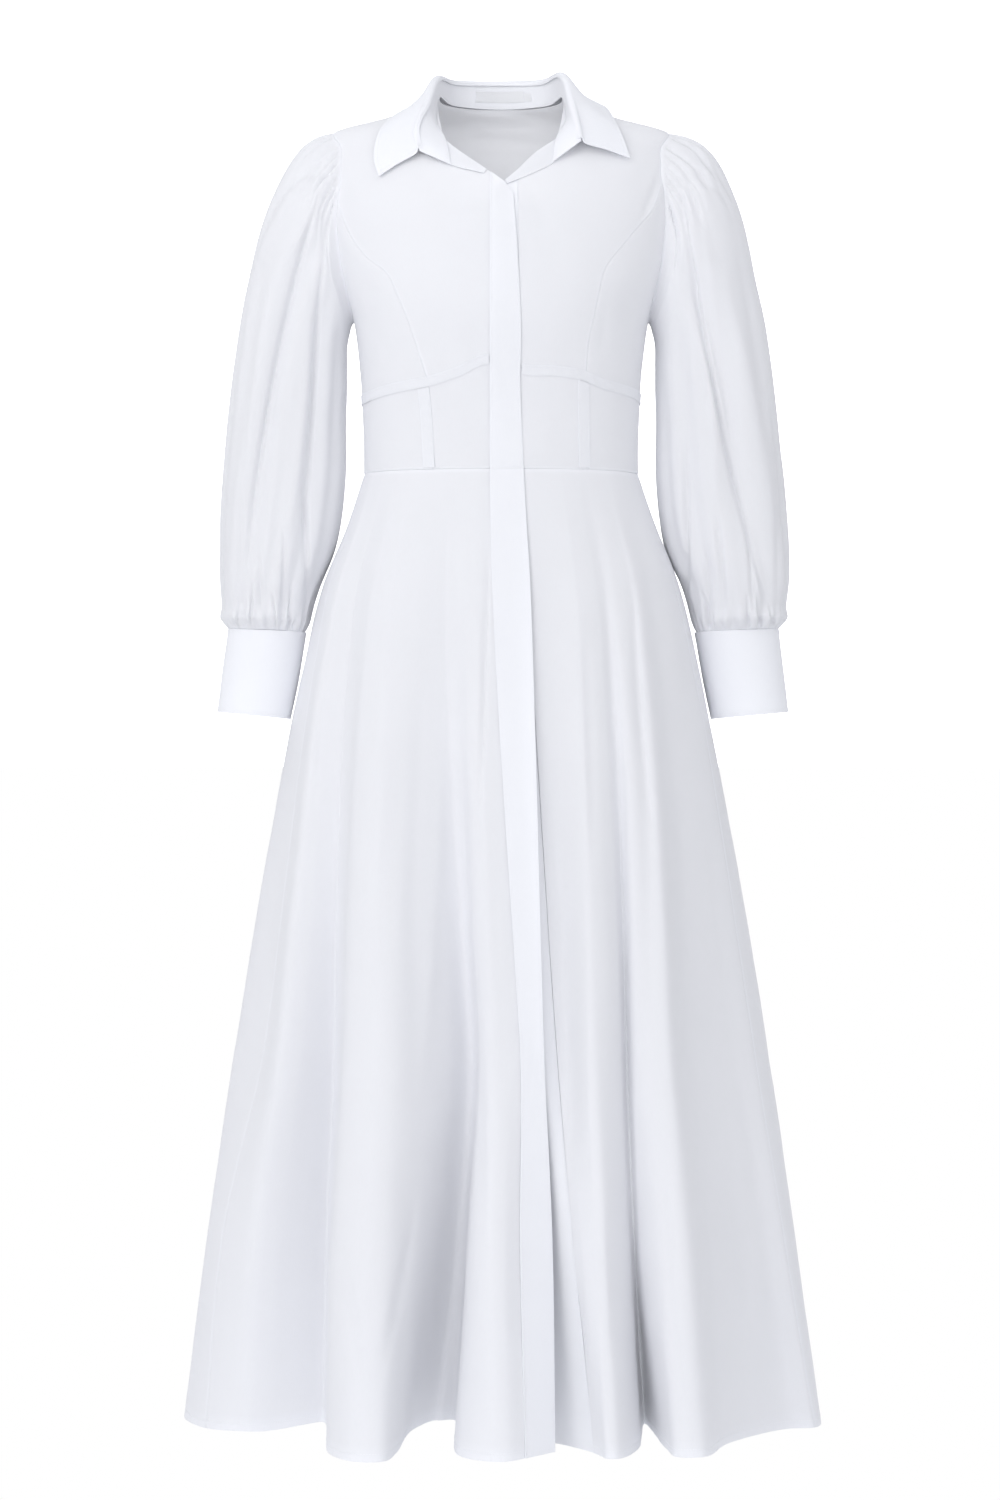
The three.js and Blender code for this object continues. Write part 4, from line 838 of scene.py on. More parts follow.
def woven_finish(name, settings, single_shaded, double_less_shaded, pitch, rib, roughness, sheen):
    """Plain-woven cotton: fine crossing threads, slubs, soft rumples, and painted shade: one layer is painted greyer
    for the shaded inside seen through it, doubled cloth whiter.
    """
    material, tree, surface = new_finish(name)
    link = tree.links.new
    uv = node_at(tree, "ShaderNodeUVMap", -1500, 0, uv_map="cloth")
    split = node_at(tree, "ShaderNodeSeparateXYZ", -1300, 0)
    link(uv.outputs[0], split.inputs[0])
    threads = []
    for i, spread in enumerate((1.0, rib)):
        turn = node_at(tree, "ShaderNodeMath", -1100, -160 * i, operation="MULTIPLY", in_1=2 * math.pi * spread / pitch)
        link(split.outputs[i], turn.inputs[0])
        wave = node_at(tree, "ShaderNodeMath", -940, -160 * i, operation="SINE")
        link(turn.outputs[0], wave.inputs[0])
        threads.append(wave)
    weave = node_at(tree, "ShaderNodeMath", -760, -60, operation="MULTIPLY")
    link(threads[0].outputs[0], weave.inputs[0])
    link(threads[1].outputs[0], weave.inputs[1])
    place = node_at(tree, "ShaderNodeTexCoord", -1500, -420)
    slub_place = node_at(tree, "ShaderNodeMapping", -1300, -420)
    slub_place.inputs["Scale"].default_value = (900, 160, 1)
    link(uv.outputs[0], slub_place.inputs["Vector"])
    slub = node_at(tree, "ShaderNodeTexNoise", -1100, -420)
    slub.inputs["Scale"].default_value = 1
    slub.inputs["Detail"].default_value = 2
    link(slub_place.outputs[0], slub.inputs["Vector"])
    rumple = node_at(tree, "ShaderNodeTexNoise", -1100, -660)
    rumple.inputs["Scale"].default_value = 26
    rumple.inputs["Detail"].default_value = 3
    rumple.inputs["Roughness"].default_value = 0.45
    link(place.outputs["Object"], rumple.inputs["Vector"])
    cloudy = node_at(tree, "ShaderNodeTexNoise", -1100, -900)
    cloudy.inputs["Scale"].default_value = 7
    cloudy.inputs["Detail"].default_value = 4
    link(place.outputs["Object"], cloudy.inputs["Vector"])

    # Painted shade: the colour goes from greyer for one layer, where the shaded inside shows through, to whiter for
    # doubled cloth
    layers_and_shade = node_at(tree, "ShaderNodeAttribute", -900, 300, attribute_name="layers_and_shade")
    layer_shaded_base = node_at(tree, "ShaderNodeMix", -640, 300, data_type="RGBA")
    layer_shaded_base.inputs["A"].default_value = (*single_shaded, 1)
    layer_shaded_base.inputs["B"].default_value = (*double_less_shaded, 1)
    link(layers_and_shade.outputs["Fac"], layer_shaded_base.inputs["Factor"])
    mottle = node_at(tree, "ShaderNodeMapRange", -640, 80)
    mottle.inputs["To Min"].default_value = 0.975
    mottle.inputs["To Max"].default_value = 1.02
    link(cloudy.outputs[0], mottle.inputs["Value"])
    grain = node_at(tree, "ShaderNodeMapRange", -640, -120)
    grain.inputs["To Min"].default_value = 0.985
    grain.inputs["To Max"].default_value = 1.012
    link(slub.outputs[0], grain.inputs["Value"])
    shade = node_at(tree, "ShaderNodeMath", -440, 0, operation="MULTIPLY")
    link(mottle.outputs[0], shade.inputs[0])
    link(grain.outputs[0], shade.inputs[1])
    tint = node_at(tree, "ShaderNodeVectorMath", -240, 200, operation="SCALE")
    link(layer_shaded_base.outputs["Result"], tint.inputs[0])
    link(shade.outputs[0], tint.inputs["Scale"])
    link(tint.outputs[0], surface.inputs["Base Color"])

    soft = node_at(tree, "ShaderNodeBump", -440, -500)
    soft.inputs["Strength"].default_value = settings.rumple
    soft.inputs["Distance"].default_value = 0.0012
    link(rumple.outputs[0], soft.inputs["Height"])
    fine = node_at(tree, "ShaderNodeBump", -240, -300)
    fine.inputs["Strength"].default_value = 0.25
    fine.inputs["Distance"].default_value = 0.00006
    link(weave.outputs[0], fine.inputs["Height"])
    link(soft.outputs[0], fine.inputs["Normal"])
    link(fine.outputs[0], surface.inputs["Normal"])
    surface.inputs["Roughness"].default_value = roughness
    surface.inputs["Subsurface Weight"].default_value = settings.light_through
    surface.inputs["Subsurface Radius"].default_value = (1, 1, 1)
    surface.inputs["Subsurface Scale"].default_value = settings.light_reach
    surface.inputs["Sheen Weight"].default_value = sheen
    surface.inputs["Sheen Roughness"].default_value = 0.5
    surface.inputs["Specular IOR Level"].default_value = 0.25
    return material


def thread_finish(settings):
    material, tree, surface = new_finish("sewing_thread")
    place = node_at(tree, "ShaderNodeTexCoord", -700, 0)
    twist = node_at(tree, "ShaderNodeTexWave", -500, 0)
    twist.inputs["Scale"].default_value = 900
    tree.links.new(place.outputs["Object"], twist.inputs["Vector"])
    bump = node_at(tree, "ShaderNodeBump", -260, -120)
    bump.inputs["Strength"].default_value = 0.3
    bump.inputs["Distance"].default_value = 0.00005
    tree.links.new(twist.outputs["Fac"], bump.inputs["Height"])
    tree.links.new(bump.outputs[0], surface.inputs["Normal"])
    surface.inputs["Base Color"].default_value = (*settings.thread_color, 1)
    surface.inputs["Roughness"].default_value = 0.5
    surface.inputs["Sheen Weight"].default_value = 0.1
    return material


def floor_finish(settings):
    material, tree, surface = new_finish("pale_floor")
    place = node_at(tree, "ShaderNodeTexCoord", -700, 0)
    grain = node_at(tree, "ShaderNodeTexNoise", -500, 0)
    grain.inputs["Scale"].default_value = 40
    tree.links.new(place.outputs["Object"], grain.inputs["Vector"])
    dull = node_at(tree, "ShaderNodeMapRange", -260, 0)
    dull.inputs["To Min"].default_value = 0.7
    dull.inputs["To Max"].default_value = 0.9
    tree.links.new(grain.outputs[0], dull.inputs["Value"])
    tree.links.new(dull.outputs[0], surface.inputs["Roughness"])
    surface.inputs["Base Color"].default_value = (*settings.floor_color, 1)
    return material


def make_finishes(scene):
    cloth, sewing = scene.dress_cloth, scene.dress_sewing
    # The cloth and band finishes paint one layer greyer than doubled cloth, as painted shade from inside
    finishes["cloth"] = woven_finish(
        "white_poplin", cloth, cloth.single_color, cloth.double_less_shaded_color, cloth.weave_pitch, 1.4, 0.82, 0.12)
    finishes["band"] = woven_finish(
        "white_poplin_band", cloth, cloth.single_color, cloth.double_less_shaded_color, cloth.weave_pitch, 1.4, 0.78, 0.1)
    finishes["label"] = woven_finish(
        "white_satin_label", cloth, cloth.label_color, cloth.label_color, cloth.weave_pitch * 0.5, 4, 0.45, 0.05)
    finishes["thread"] = thread_finish(sewing)


# Stitches

def stitch_tree():
    """A node tree that sets a short bead of thread at even steps along each path."""
    tree = bpy.data.node_groups.new("stitch_run", "GeometryNodeTree")
    socket = tree.interface.new_socket
    socket("Paths", in_out="INPUT", socket_type="NodeSocketGeometry")
    socket("Stitch pitch", in_out="INPUT", socket_type="NodeSocketFloat")
    socket("Stitch length", in_out="INPUT", socket_type="NodeSocketFloat")
    socket("Thread width", in_out="INPUT", socket_type="NodeSocketFloat")
    socket("Thread", in_out="INPUT", socket_type="NodeSocketMaterial")
    socket("Stitches", in_out="OUTPUT", socket_type="NodeSocketGeometry")
    link = tree.links.new
    given = node_at(tree, "NodeGroupInput", -1200, 0)
    curve = node_at(tree, "GeometryNodeMeshToCurve", -1000, 0)
    link(given.outputs["Paths"], curve.inputs[0])
    even = node_at(tree, "GeometryNodeResampleCurve", -800, 0, mode="LENGTH")
    link(curve.outputs[0], even.inputs["Curve"])
    link(given.outputs["Stitch pitch"], even.inputs["Length"])
    tangent = node_at(tree, "GeometryNodeInputTangent", -1000, -300)
    face = node_at(tree, "GeometryNodeInputNamedAttribute", -1000, -450, data_type="FLOAT_VECTOR")
    face.inputs["Name"].default_value = "stitch_face"
    along = node_at(tree, "FunctionNodeAlignRotationToVector", -800, -300, axis="X")
    link(tangent.outputs[0], along.inputs["Vector"])
    upright = node_at(tree, "FunctionNodeAlignRotationToVector", -600, -300, axis="Z", pivot_axis="X")
    link(along.outputs[0], upright.inputs["Rotation"])
    link(face.outputs[0], upright.inputs["Vector"])
    bead = node_at(tree, "GeometryNodeMeshIcoSphere", -800, 300)
    bead.inputs["Radius"].default_value = 0.5
    bead.inputs["Subdivisions"].default_value = 1
    size = node_at(tree, "ShaderNodeCombineXYZ", -800, 500)
    link(given.outputs["Stitch length"], size.inputs[0])
    link(given.outputs["Thread width"], size.inputs[1])
    link(given.outputs["Thread width"], size.inputs[2])
    shape = node_at(tree, "GeometryNodeTransform", -600, 300)
    link(bead.outputs["Mesh"], shape.inputs["Geometry"])
    link(size.outputs[0], shape.inputs["Scale"])
    put = node_at(tree, "GeometryNodeInstanceOnPoints", -400, 0)
    link(even.outputs[0], put.inputs["Points"])
    link(shape.outputs[0], put.inputs["Instance"])
    link(upright.outputs[0], put.inputs["Rotation"])
    real = node_at(tree, "GeometryNodeRealizeInstances", -200, 0)
    link(put.outputs[0], real.inputs[0])
    smooth = node_at(tree, "GeometryNodeSetShadeSmooth", 0, 0)
    link(real.outputs[0], smooth.inputs[0])
    dressed = node_at(tree, "GeometryNodeSetMaterial", 200, 0)
    link(smooth.outputs[0], dressed.inputs["Geometry"])
    link(given.outputs["Thread"], dressed.inputs["Material"])
    result = node_at(tree, "NodeGroupOutput", 400, 0)
    link(dressed.outputs[0], result.inputs[0])
    return tree


def path_beside(node, side, distance, lift=0.12):
    """The line on a wall's face that runs beside one of its edges, and its normals."""
    outer, normal = walls[node]
    if side in ("top", "bottom"):
        outer, normal = outer.transpose(1, 0, 2), normal.transpose(1, 0, 2)
    if side in ("end", "bottom"):
        outer, normal = outer[:, ::-1], normal[:, ::-1]
    reach = arc(outer, 1)[0]
    made, faces = [], []
    for r in range(len(outer)):
        points = np.array([np.interp(distance, reach[r], outer[r, :, k]) for k in range(3)])
        face = np.array([np.interp(distance, reach[r], normal[r, :, k]) for k in range(3)])
        made.append(points + lift * face)
        faces.append(face)
    return np.array(made), np.array(faces)


def make_stitches(name, runs, sewing):
    """One piece of stitches. Each run is a wall, one of its edges, and the distance from it."""
    points, faces, edges = [], [], []
    for node, side, distance in runs:
        made, face = path_beside(node, side, distance)
        first = sum(len(p) for p in points)
        points.append(made * MM)
        faces.append(face)
        edges.append(np.stack([np.arange(len(made) - 1), np.arange(1, len(made))], axis=1) + first)
    mesh = bpy.data.meshes.new(name + "_paths")
    mesh.from_pydata(np.concatenate(points).tolist(), np.concatenate(edges).tolist(), [])
    mesh.attributes.new("stitch_face", "FLOAT_VECTOR", "POINT").data.foreach_set(
        "vector", np.concatenate(faces).ravel())
    paths = bpy.data.objects.new(name + "_paths", mesh)
    bpy.context.scene.collection.objects.link(paths)
    tree = bpy.data.node_groups.get("stitch_run") or stitch_tree()
    modifier = paths.modifiers.new("stitches", "NODES")
    modifier.node_group = tree
    values = {
        "Stitch pitch": sewing.pitch,
        "Stitch length": sewing.pitch * 0.78,
        "Thread width": sewing.thread_width,
        "Thread": finishes["thread"],
    }
    for item in tree.interface.items_tree:
        if item.item_type == "SOCKET" and item.name in values:
            modifier[item.identifier] = values[item.name]
    graph = bpy.context.evaluated_depsgraph_get()
    stitched = bpy.data.meshes.new_from_object(paths.evaluated_get(graph))
    stitched.name = name
    bpy.data.objects.remove(paths)
    stitched.materials.clear()
    piece = add_piece(name, stitched, finishes["thread"])
    print(f"PIECE {name} {sum(len(p.vertices) - 2 for p in stitched.polygons)} triangles")
    return piece


# Settings

class DressCloth(bpy.types.PropertyGroup):
    """Colours and thicknesses of the cloth."""
    # Painted shade: one layer is coloured greyer for the shaded inside seen through the thin cloth
    single_color: bpy.props.FloatVectorProperty(
        name="Single layer", description="Colour of one layer of cloth", subtype="COLOR",
        default=(0.83, 0.835, 0.865), min=0, max=1)
    # Doubled cloth is coloured whiter, with less painted shade from inside
    double_less_shaded_color: bpy.props.FloatVectorProperty(
        name="Double layer", description="Colour where cloth is doubled, as in bands and seams",
        subtype="COLOR", default=(0.875, 0.885, 0.925), min=0, max=1)
    label_color: bpy.props.FloatVectorProperty(
        name="Label", description="Colour of the blank woven label", subtype="COLOR",
        default=(0.90, 0.91, 0.94), min=0, max=1)
    thickness: bpy.props.FloatProperty(
        name="Cloth thickness", description="Wall of one layer of cloth", default=0.0007,
        min=0.0003, max=0.003, unit="LENGTH")
    band_thickness: bpy.props.FloatProperty(
        name="Band thickness", description="Wall of a doubled band, cuff or collar", default=0.0012,
        min=0.0005, max=0.003, unit="LENGTH")
    weave_pitch: bpy.props.FloatProperty(
        name="Weave pitch", description="Distance between two threads", default=0.0005,
        min=0.0002, max=0.003, unit="LENGTH")
    crumple: bpy.props.FloatProperty(
        name="Crumple", description="Height of the soft unevenness of each panel", default=0.00035,
        min=0, max=0.003, unit="LENGTH")
    crease_strength: bpy.props.FloatProperty(
        name="Crease strength", description="Share of each listed crease's depth", default=1.0,
        min=0, max=2, subtype="FACTOR")
    light_through: bpy.props.FloatProperty(
        name="Light through", description="How much light comes through one layer", default=0.45,
        min=0, max=1, subtype="FACTOR")
    light_reach: bpy.props.FloatProperty(
        name="Light reach", description="How far light spreads inside the cloth", default=0.0025,
        min=0.0001, max=0.02, unit="LENGTH")
    rumple: bpy.props.FloatProperty(
        name="Fine rumples", description="Strength of the finest rumples in the finish", default=0.3,
        min=0, max=1, subtype="FACTOR")


class DressSewing(bpy.types.PropertyGroup):
    """Sizes and colour of the sewing thread."""
    pitch: bpy.props.FloatProperty(
        name="Stitch pitch", description="Distance from one stitch to the next", default=0.0028,
        min=0.001, max=0.01, unit="LENGTH")
    thread_width: bpy.props.FloatProperty(
        name="Thread width", description="Width of a stitch", default=0.00045, min=0.0001,
        max=0.002, unit="LENGTH")
    thread_color: bpy.props.FloatVectorProperty(
        name="Thread", description="Colour of the sewing thread", subtype="COLOR",
        default=(0.90, 0.91, 0.93), min=0, max=1)


class DressStage(bpy.types.PropertyGroup):
    """Strengths of the studio's lights, and its floor."""
    key: bpy.props.FloatProperty(
        name="Key light", description="Strength of the large light on the left", default=30,
        min=0, max=500, unit="POWER")
    fill: bpy.props.FloatProperty(
        name="Fill light", description="Strength of the large light by the camera", default=24,
        min=0, max=500, unit="POWER")
    top: bpy.props.FloatProperty(
        name="Top light", description="Strength of the light above the neck", default=7.5,
        min=0, max=500, unit="POWER")
    rear: bpy.props.FloatProperty(
        name="Rear light", description="Strength of the large light behind the dress", default=24,
        min=0, max=500, unit="POWER")
    neck: bpy.props.FloatProperty(
        name="Neck light", description="Strength of the small light inside the neck", default=0.08,
        min=0, max=5, unit="POWER")
    ambient: bpy.props.FloatProperty(
        name="Room light", description="Brightness of the white room", default=0.79, min=0, max=3)
    floor_level: bpy.props.FloatProperty(
        name="Floor level", description="Height of the floor, below the picture", default=-1.62,
        unit="LENGTH")
    floor_width: bpy.props.FloatProperty(
        name="Floor width", description="Side of the square floor", default=2.3, min=1, unit="LENGTH")
    floor_color: bpy.props.FloatVectorProperty(
        name="Floor", description="Colour of the floor", subtype="COLOR",
        default=(0.86, 0.87, 0.89), min=0, max=1)


# Operators

def placket_band(node, bodice_angle, skirt_from, skirt_to, top_level, lift, **options):
    settings = bpy.context.scene.dress_cloth
    c = steps(18)
    r = np.linspace(0, 1, 60)
    bodice = []
    for f in r:
        level = lerp(top_level(c), WAIST_LEVEL, f)
        bodice.append(torso_point(bodice_angle(c, level), level))
    levels = skirt_levels(150)[1:]
    skirt = skirt_grid(lerp(skirt_from, skirt_to, c), levels)
    points = np.concatenate([np.array(bodice), skirt])
    return cloth_wall(
        node, points, slot="band", lift=lift, thickness=settings.band_thickness / MM * 0.8,
        base_layers_and_shade=1, relief=creases(points, PLACKET_CREASES), **options)


class DRESS_OT_bodice(bpy.types.Operator):
    """Make the fronts, side fronts and back of the bodice"""
    bl_idname = "dress.bodice"
    bl_label = "Bodice"

    def execute(self, context):
        for side, sign in SIDES.items():
            foot = 30.0
            for _ in range(4):
                foot = float(princess_place(side, underbust_level(sign * foot))[0])
            head = PRINCESS_START[side]
            top = float(armhole_edge(head)[1])
            end = float(underbust_level(sign * foot))

            def princess(f):
                angle, level = princess_place(side, lerp(top, end, f))
                start = armhole_edge(head)[0] - princess_place(side, top)[0]
                return angle + start * (1 - f) ** 3, level

            def underbust(low, high):
                def edge(f):
                    angle = lerp(low, high, f)
                    return angle, underbust_level(sign * angle)
                return edge

            neck = NECK_EDGE[side]
            last = len(neck["row"]) - 1
            edge_x = PANEL_EDGE_X[side]
            edge_foot = float(angle_at_x(edge_x, -265))

            def neck_line(f):
                return seam_place(read(neck, "row", "x", f * last), read(neck, "row", "level", f * last))

            def front_edge(f):
                level = lerp(neck["level"][-1], underbust_level(sign * edge_foot), f)
                return seam_place(edge_x + 0 * level, level)

            share = 5 / 13
            c, r = mesh_steps(56, 78)
            angle, level = patch(
                shoulder_edge, underbust(edge_foot, foot), joined(neck_line, front_edge, share),
                joined(lambda f: armhole_edge(head * f), princess, share), c, r)
            points = torso_point(*on_side(side, angle, level))
            outer_end = "end" if side == "left" else "start"
            cloth_wall(
                f"front_centre_{side}", points, dips=("top", "bottom", outer_end),
                doubled={"top": 6, outer_end: 2.5}, relief=front_and_back(points, BODICE_CREASES, BACK_CREASES))
            c, r = mesh_steps(44, 48)
            angle, level = patch(
                lambda f: armhole_edge(lerp(head, 180, f)), underbust(foot, 90), princess,
                lambda f: (90 + 0 * f, lerp(ARMHOLE["bottom"], underbust_level(sign * 90), f)), c, r)
            points = torso_point(*on_side(side, angle, level))
            cloth_wall(
                f"front_side_{side}", points, dips=("top", "bottom", "start", "end"),
                relief=front_and_back(points, BODICE_CREASES, BACK_CREASES))
        shoulder_share = 0.26

        def top_edge(c):
            f = np.clip((c - shoulder_share) / (1 - 2 * shoulder_share), 0, 1)
            neck_level = NECK_SIDE_LEVEL - (NECK_SIDE_LEVEL - NECK_BACK_LEVEL) * np.sin(np.pi * f)
            left = shoulder_edge(np.clip(1 - c / shoulder_share, 0, 1))[1]
            right = shoulder_edge(np.clip(1 - (1 - c) / shoulder_share, 0, 1))[1]
            level = np.where(c < shoulder_share, left, np.where(c > 1 - shoulder_share, right, neck_level))
            return np.where(c < shoulder_share, 90, np.where(c > 1 - shoulder_share, 270, 90 + 180 * f)), level

        left_edge = joined(
            lambda f: armhole_edge(360 - 180 * f),
            lambda f: (90 + 0 * f, lerp(ARMHOLE["bottom"], underbust_level(90), f)), 0.65)

        def right_edge(f):
            angle, level = left_edge(f)
            return 360 - angle, level

        c, r = mesh_steps(100, 60)
        angle, level = patch(
            top_edge, lambda f: (90 + 180 * f, underbust_level(90 + 180 * f)), left_edge, right_edge, c, r)
        points = torso_point(angle, level)
        cloth_wall(
            "back_bodice", points, dips=("top", "bottom", "start", "end"), doubled={"top": 5, "start": 5, "end": 5},
            relief=front_and_back(points, BODICE_CREASES, BACK_CREASES))
        return {"FINISHED"}


class DRESS_OT_midriff(bpy.types.Operator):
    """Make the fitted band between the bust and the waist, with its tapes and bone channels"""
    bl_idname = "dress.midriff"
    bl_label = "Midriff and tapes"

    def band(self, node, start, end, columns, **options):
        c, r = mesh_steps(columns, 30)
        reference = lerp(-280, WAIST_LEVEL, r)
        angle = lerp(start(reference), end(reference), c)
        points = torso_point(angle, lerp(underbust_level(angle), WAIST_LEVEL, r))
        cloth_wall(
            node, points, dips=("top", "bottom", "start", "end"), doubled={"bottom": 2},
            relief=front_and_back(points, MIDRIFF_CREASES, BACK_CREASES), **options)

    def tape(self, node, angle, level, tall):
        settings = bpy.context.scene.dress_cloth
        points = torso_point(angle, level)
        sides = {"start": 0.08, "end": 0.08} if tall else {"top": 0.08, "bottom": 0.08}
        cloth_wall(
            node, points, slot="band", lift=0.9, thickness=settings.thickness / MM, base_layers_and_shade=1, puckers=sides)

    def execute(self, context):
        def channel(side):
            return lambda level: SIDES[side] * princess_place(side, level)[0]

        def centre(side):
            return lambda level: SIDES[side] * angle_at_x(PANEL_EDGE_X[side], level)

        def seam(angle):
            return lambda level: angle + 0 * level

        self.band("midriff_centre_right", channel("right"), centre("right"), 48)
        self.band("midriff_centre_left", centre("left"), channel("left"), 48)
        self.band("midriff_side_right", seam(-90), channel("right"), 40)
        self.band("midriff_side_left", channel("left"), seam(90), 40)
        self.band("midriff_back", seam(90), seam(270), 90)
        placket_side = angle_at_x(PLACKET_STITCH_X + 0.8, -265)
        for node, low, high in (
            ("underbust_tape_right", -90, -placket_side),
            ("underbust_tape_left", angle_at_x(20.4, -268), 90),
            ("underbust_tape_back", 90, 270),
        ):
            c, r = mesh_steps(140, 6)
            angle = lerp(low, high, c)
            self.tape(node, angle, underbust_level(angle) + TAPE_WIDTH * (0.5 - r), False)
        for side, sign in SIDES.items():
            offset = 0 if side == "right" else -1
            c, r = mesh_steps(6, 60)
            x = read(PRINCESS[side], "level", "x", lerp(-280, WAIST_LEVEL, r))
            across = sign * (x + CHANNEL_WIDTH * (0.5 + offset) * 0.6) + CHANNEL_WIDTH * (c - 0.5)
            top = underbust_level(sign * angle_at_x(np.abs(across), -285)) - TAPE_WIDTH / 2 - 0.6
            level = lerp(top, WAIST_LEVEL + 2, r)
            self.tape(f"bone_channel_{side}", sign * angle_at_x(np.abs(across), level), level, True)
        return {"FINISHED"}


class DRESS_OT_skirt(bpy.types.Operator):
    """Make the flared skirt, in two fronts and a back, with its turned-up hem"""
    bl_idname = "dress.skirt"
    bl_label = "Skirt"

    def execute(self, context):
        for node, low, high, columns, seams in (
            ("skirt_front_left", UNDERLAP_STITCH_LINE + 0.03, LEFT_SEAM_LINE, 150, {"end": 1.5}),
            ("skirt_back", LEFT_SEAM_LINE, RIGHT_SEAM_LINE, 210, {"start": 1.5, "end": 1.5}),
            ("skirt_front_right", RIGHT_SEAM_LINE, OVERLAP_STITCH_LINE + 0.1, 170, {"start": 1.5}),
        ):
            points = skirt_grid(lerp(low, high, steps(columns)), skirt_levels(130))
            relief = front_and_back(points, SKIRT_CREASES, SKIRT_BACK_CREASES)
            relief += 0.5 * value_noise(points * [1, 1, 0.25], 26, 5)
            cloth_wall(
                node, points, dips=("top", *seams), doubled={"top": 2, "bottom": 8, **seams},
                puckers={"bottom": 0.12}, relief=relief * smoothstep(-points[..., 2], -WAIST_LEVEL, -WAIST_LEVEL + 40))
        return {"FINISHED"}


class DRESS_OT_placket(bpy.types.Operator):
    """Make the two bands of the fly front, from neck to hem"""
    bl_idname = "dress.placket"
    bl_label = "Placket"

    def execute(self, context):
        placket_band(
            "placket_overlap",
            lambda c, level: lerp(
                -angle_at_x(PLACKET_STITCH_X, level),
                angle_at_x(read(OVERLAP_EDGE, "level", "x", level), level), c),
            OVERLAP_STITCH_LINE, LAST_LINE, lambda c: -76 - 23 * c ** 1.6, 1.7,
            puckers={"start": 0.14, "end": 0.08})
        placket_band(
            "placket_underlap",
            lambda c, level: lerp(
                -angle_at_x(UNDERLAP_EDGE_X, level), angle_at_x(PANEL_EDGE_X["left"], level), c),
            0, UNDERLAP_STITCH_LINE, lambda c: -92 + 20 * c, -0.4, puckers={"end": 0.1})
        return {"FINISHED"}


class DRESS_OT_neck(bpy.types.Operator):
    """Make the collar, the turned-out neck facings and the blank label"""
    bl_idname = "dress.neck"
    bl_label = "Collar and neck"

    def execute(self, context):
        band = context.scene.dress_cloth.band_thickness / MM
        for side in SIDES:
            c, r = mesh_steps(40, 14)
            rows = FACING[side]
            row = (1 - c) * (len(rows["row"]) - 1)
            x = lerp(read(rows, "row", "neck_x", row), read(rows, "row", "edge_x", row), r)
            level = lerp(read(rows, "row", "neck_level", row), read(rows, "row", "edge_level", row), r)
            angle = angle_at_x(x, level)
            points = torso_point(*on_side(side, angle, level))
            cloth_wall(f"neck_facing_{side}", points, slot="band", lift=1.5, thickness=0.8, base_layers_and_shade=1)
        points = stand_grid(lerp(0, COLLAR_LAST, steps(200)), 1 - steps(14))
        cloth_wall("collar_stand", points, slot="band", lift=band, thickness=band, base_layers_and_shade=1)
        k = lerp(0.06, COLLAR_LAST - 0.06, steps(200))
        points = fall_grid(k, steps(44))
        cloth_wall("collar_fall", points, slot="band", lift=band, thickness=band, flip=True, base_layers_and_shade=1)
        tags = []
        for node, left, right, bottom, top in (
            ("size_tab", 26, 33, 15.5, 25), ("neck_label", -25, 25, 14.5, 27.5),
        ):
            x, level = np.meshgrid(np.linspace(left, right, 24), np.linspace(top, bottom, 8))
            k = 5 + x / 50
            h = np.clip((level - NECK_BACK_LEVEL) / 30, 0, 1)[..., None]
            seam = spline(SEAM_POINTS, k.ravel()).reshape(*k.shape, 3)
            roll = spline(ROLL_POINTS, k.ravel()).reshape(*k.shape, 3)
            tags.append(cloth_wall(
                node, lerp(seam, roll, h), slot="label", lift=band + 0.7, thickness=0.5, base_layers_and_shade=1,
                pieces=tags))
        return {"FINISHED"}


class DRESS_OT_sleeves(bpy.types.Operator):
    """Make the full sleeves, gathered at the cap and at the wrist, and their cuffs"""
    bl_idname = "dress.sleeves"
    bl_label = "Sleeves and cuffs"

    def execute(self, context):
        band = context.scene.dress_cloth.band_thickness / MM
        for side in SIDES:
            flip = side == "left"
            around = np.linspace(0, 360, 300, endpoint=False)
            last = len(SLEEVE["row"]) - 1
            rows = lerp(0, last, steps(120))
            a, r = np.meshgrid(around, rows)
            points = sleeve_grid(side, a, r)
            relief = front_and_back(points, SLEEVE_CREASES[side], SLEEVE_BACK_CREASES[side], 8)
            relief *= smoothstep(r, 0.1, 1) * smoothstep(last - r, 0, 0.3)
            cloth_wall(
                f"sleeve_{side}", points, is_ring=True, flip=flip, doubled={"top": 5, "bottom": 4},
                relief=relief + 0.4 * value_noise(points * [1, 1, 0.4], 20, 9), held="gathered")
            a, r = np.meshgrid(np.linspace(0, 360, 120, endpoint=False), 2 * steps(36))
            cloth_wall(
                f"cuff_{side}", arm_section(CUFF, side, a, r), slot="band", is_ring=True, flip=flip,
                lift=band * 0.5, thickness=band, base_layers_and_shade=1, puckers={"top": 0.15})
        return {"FINISHED"}


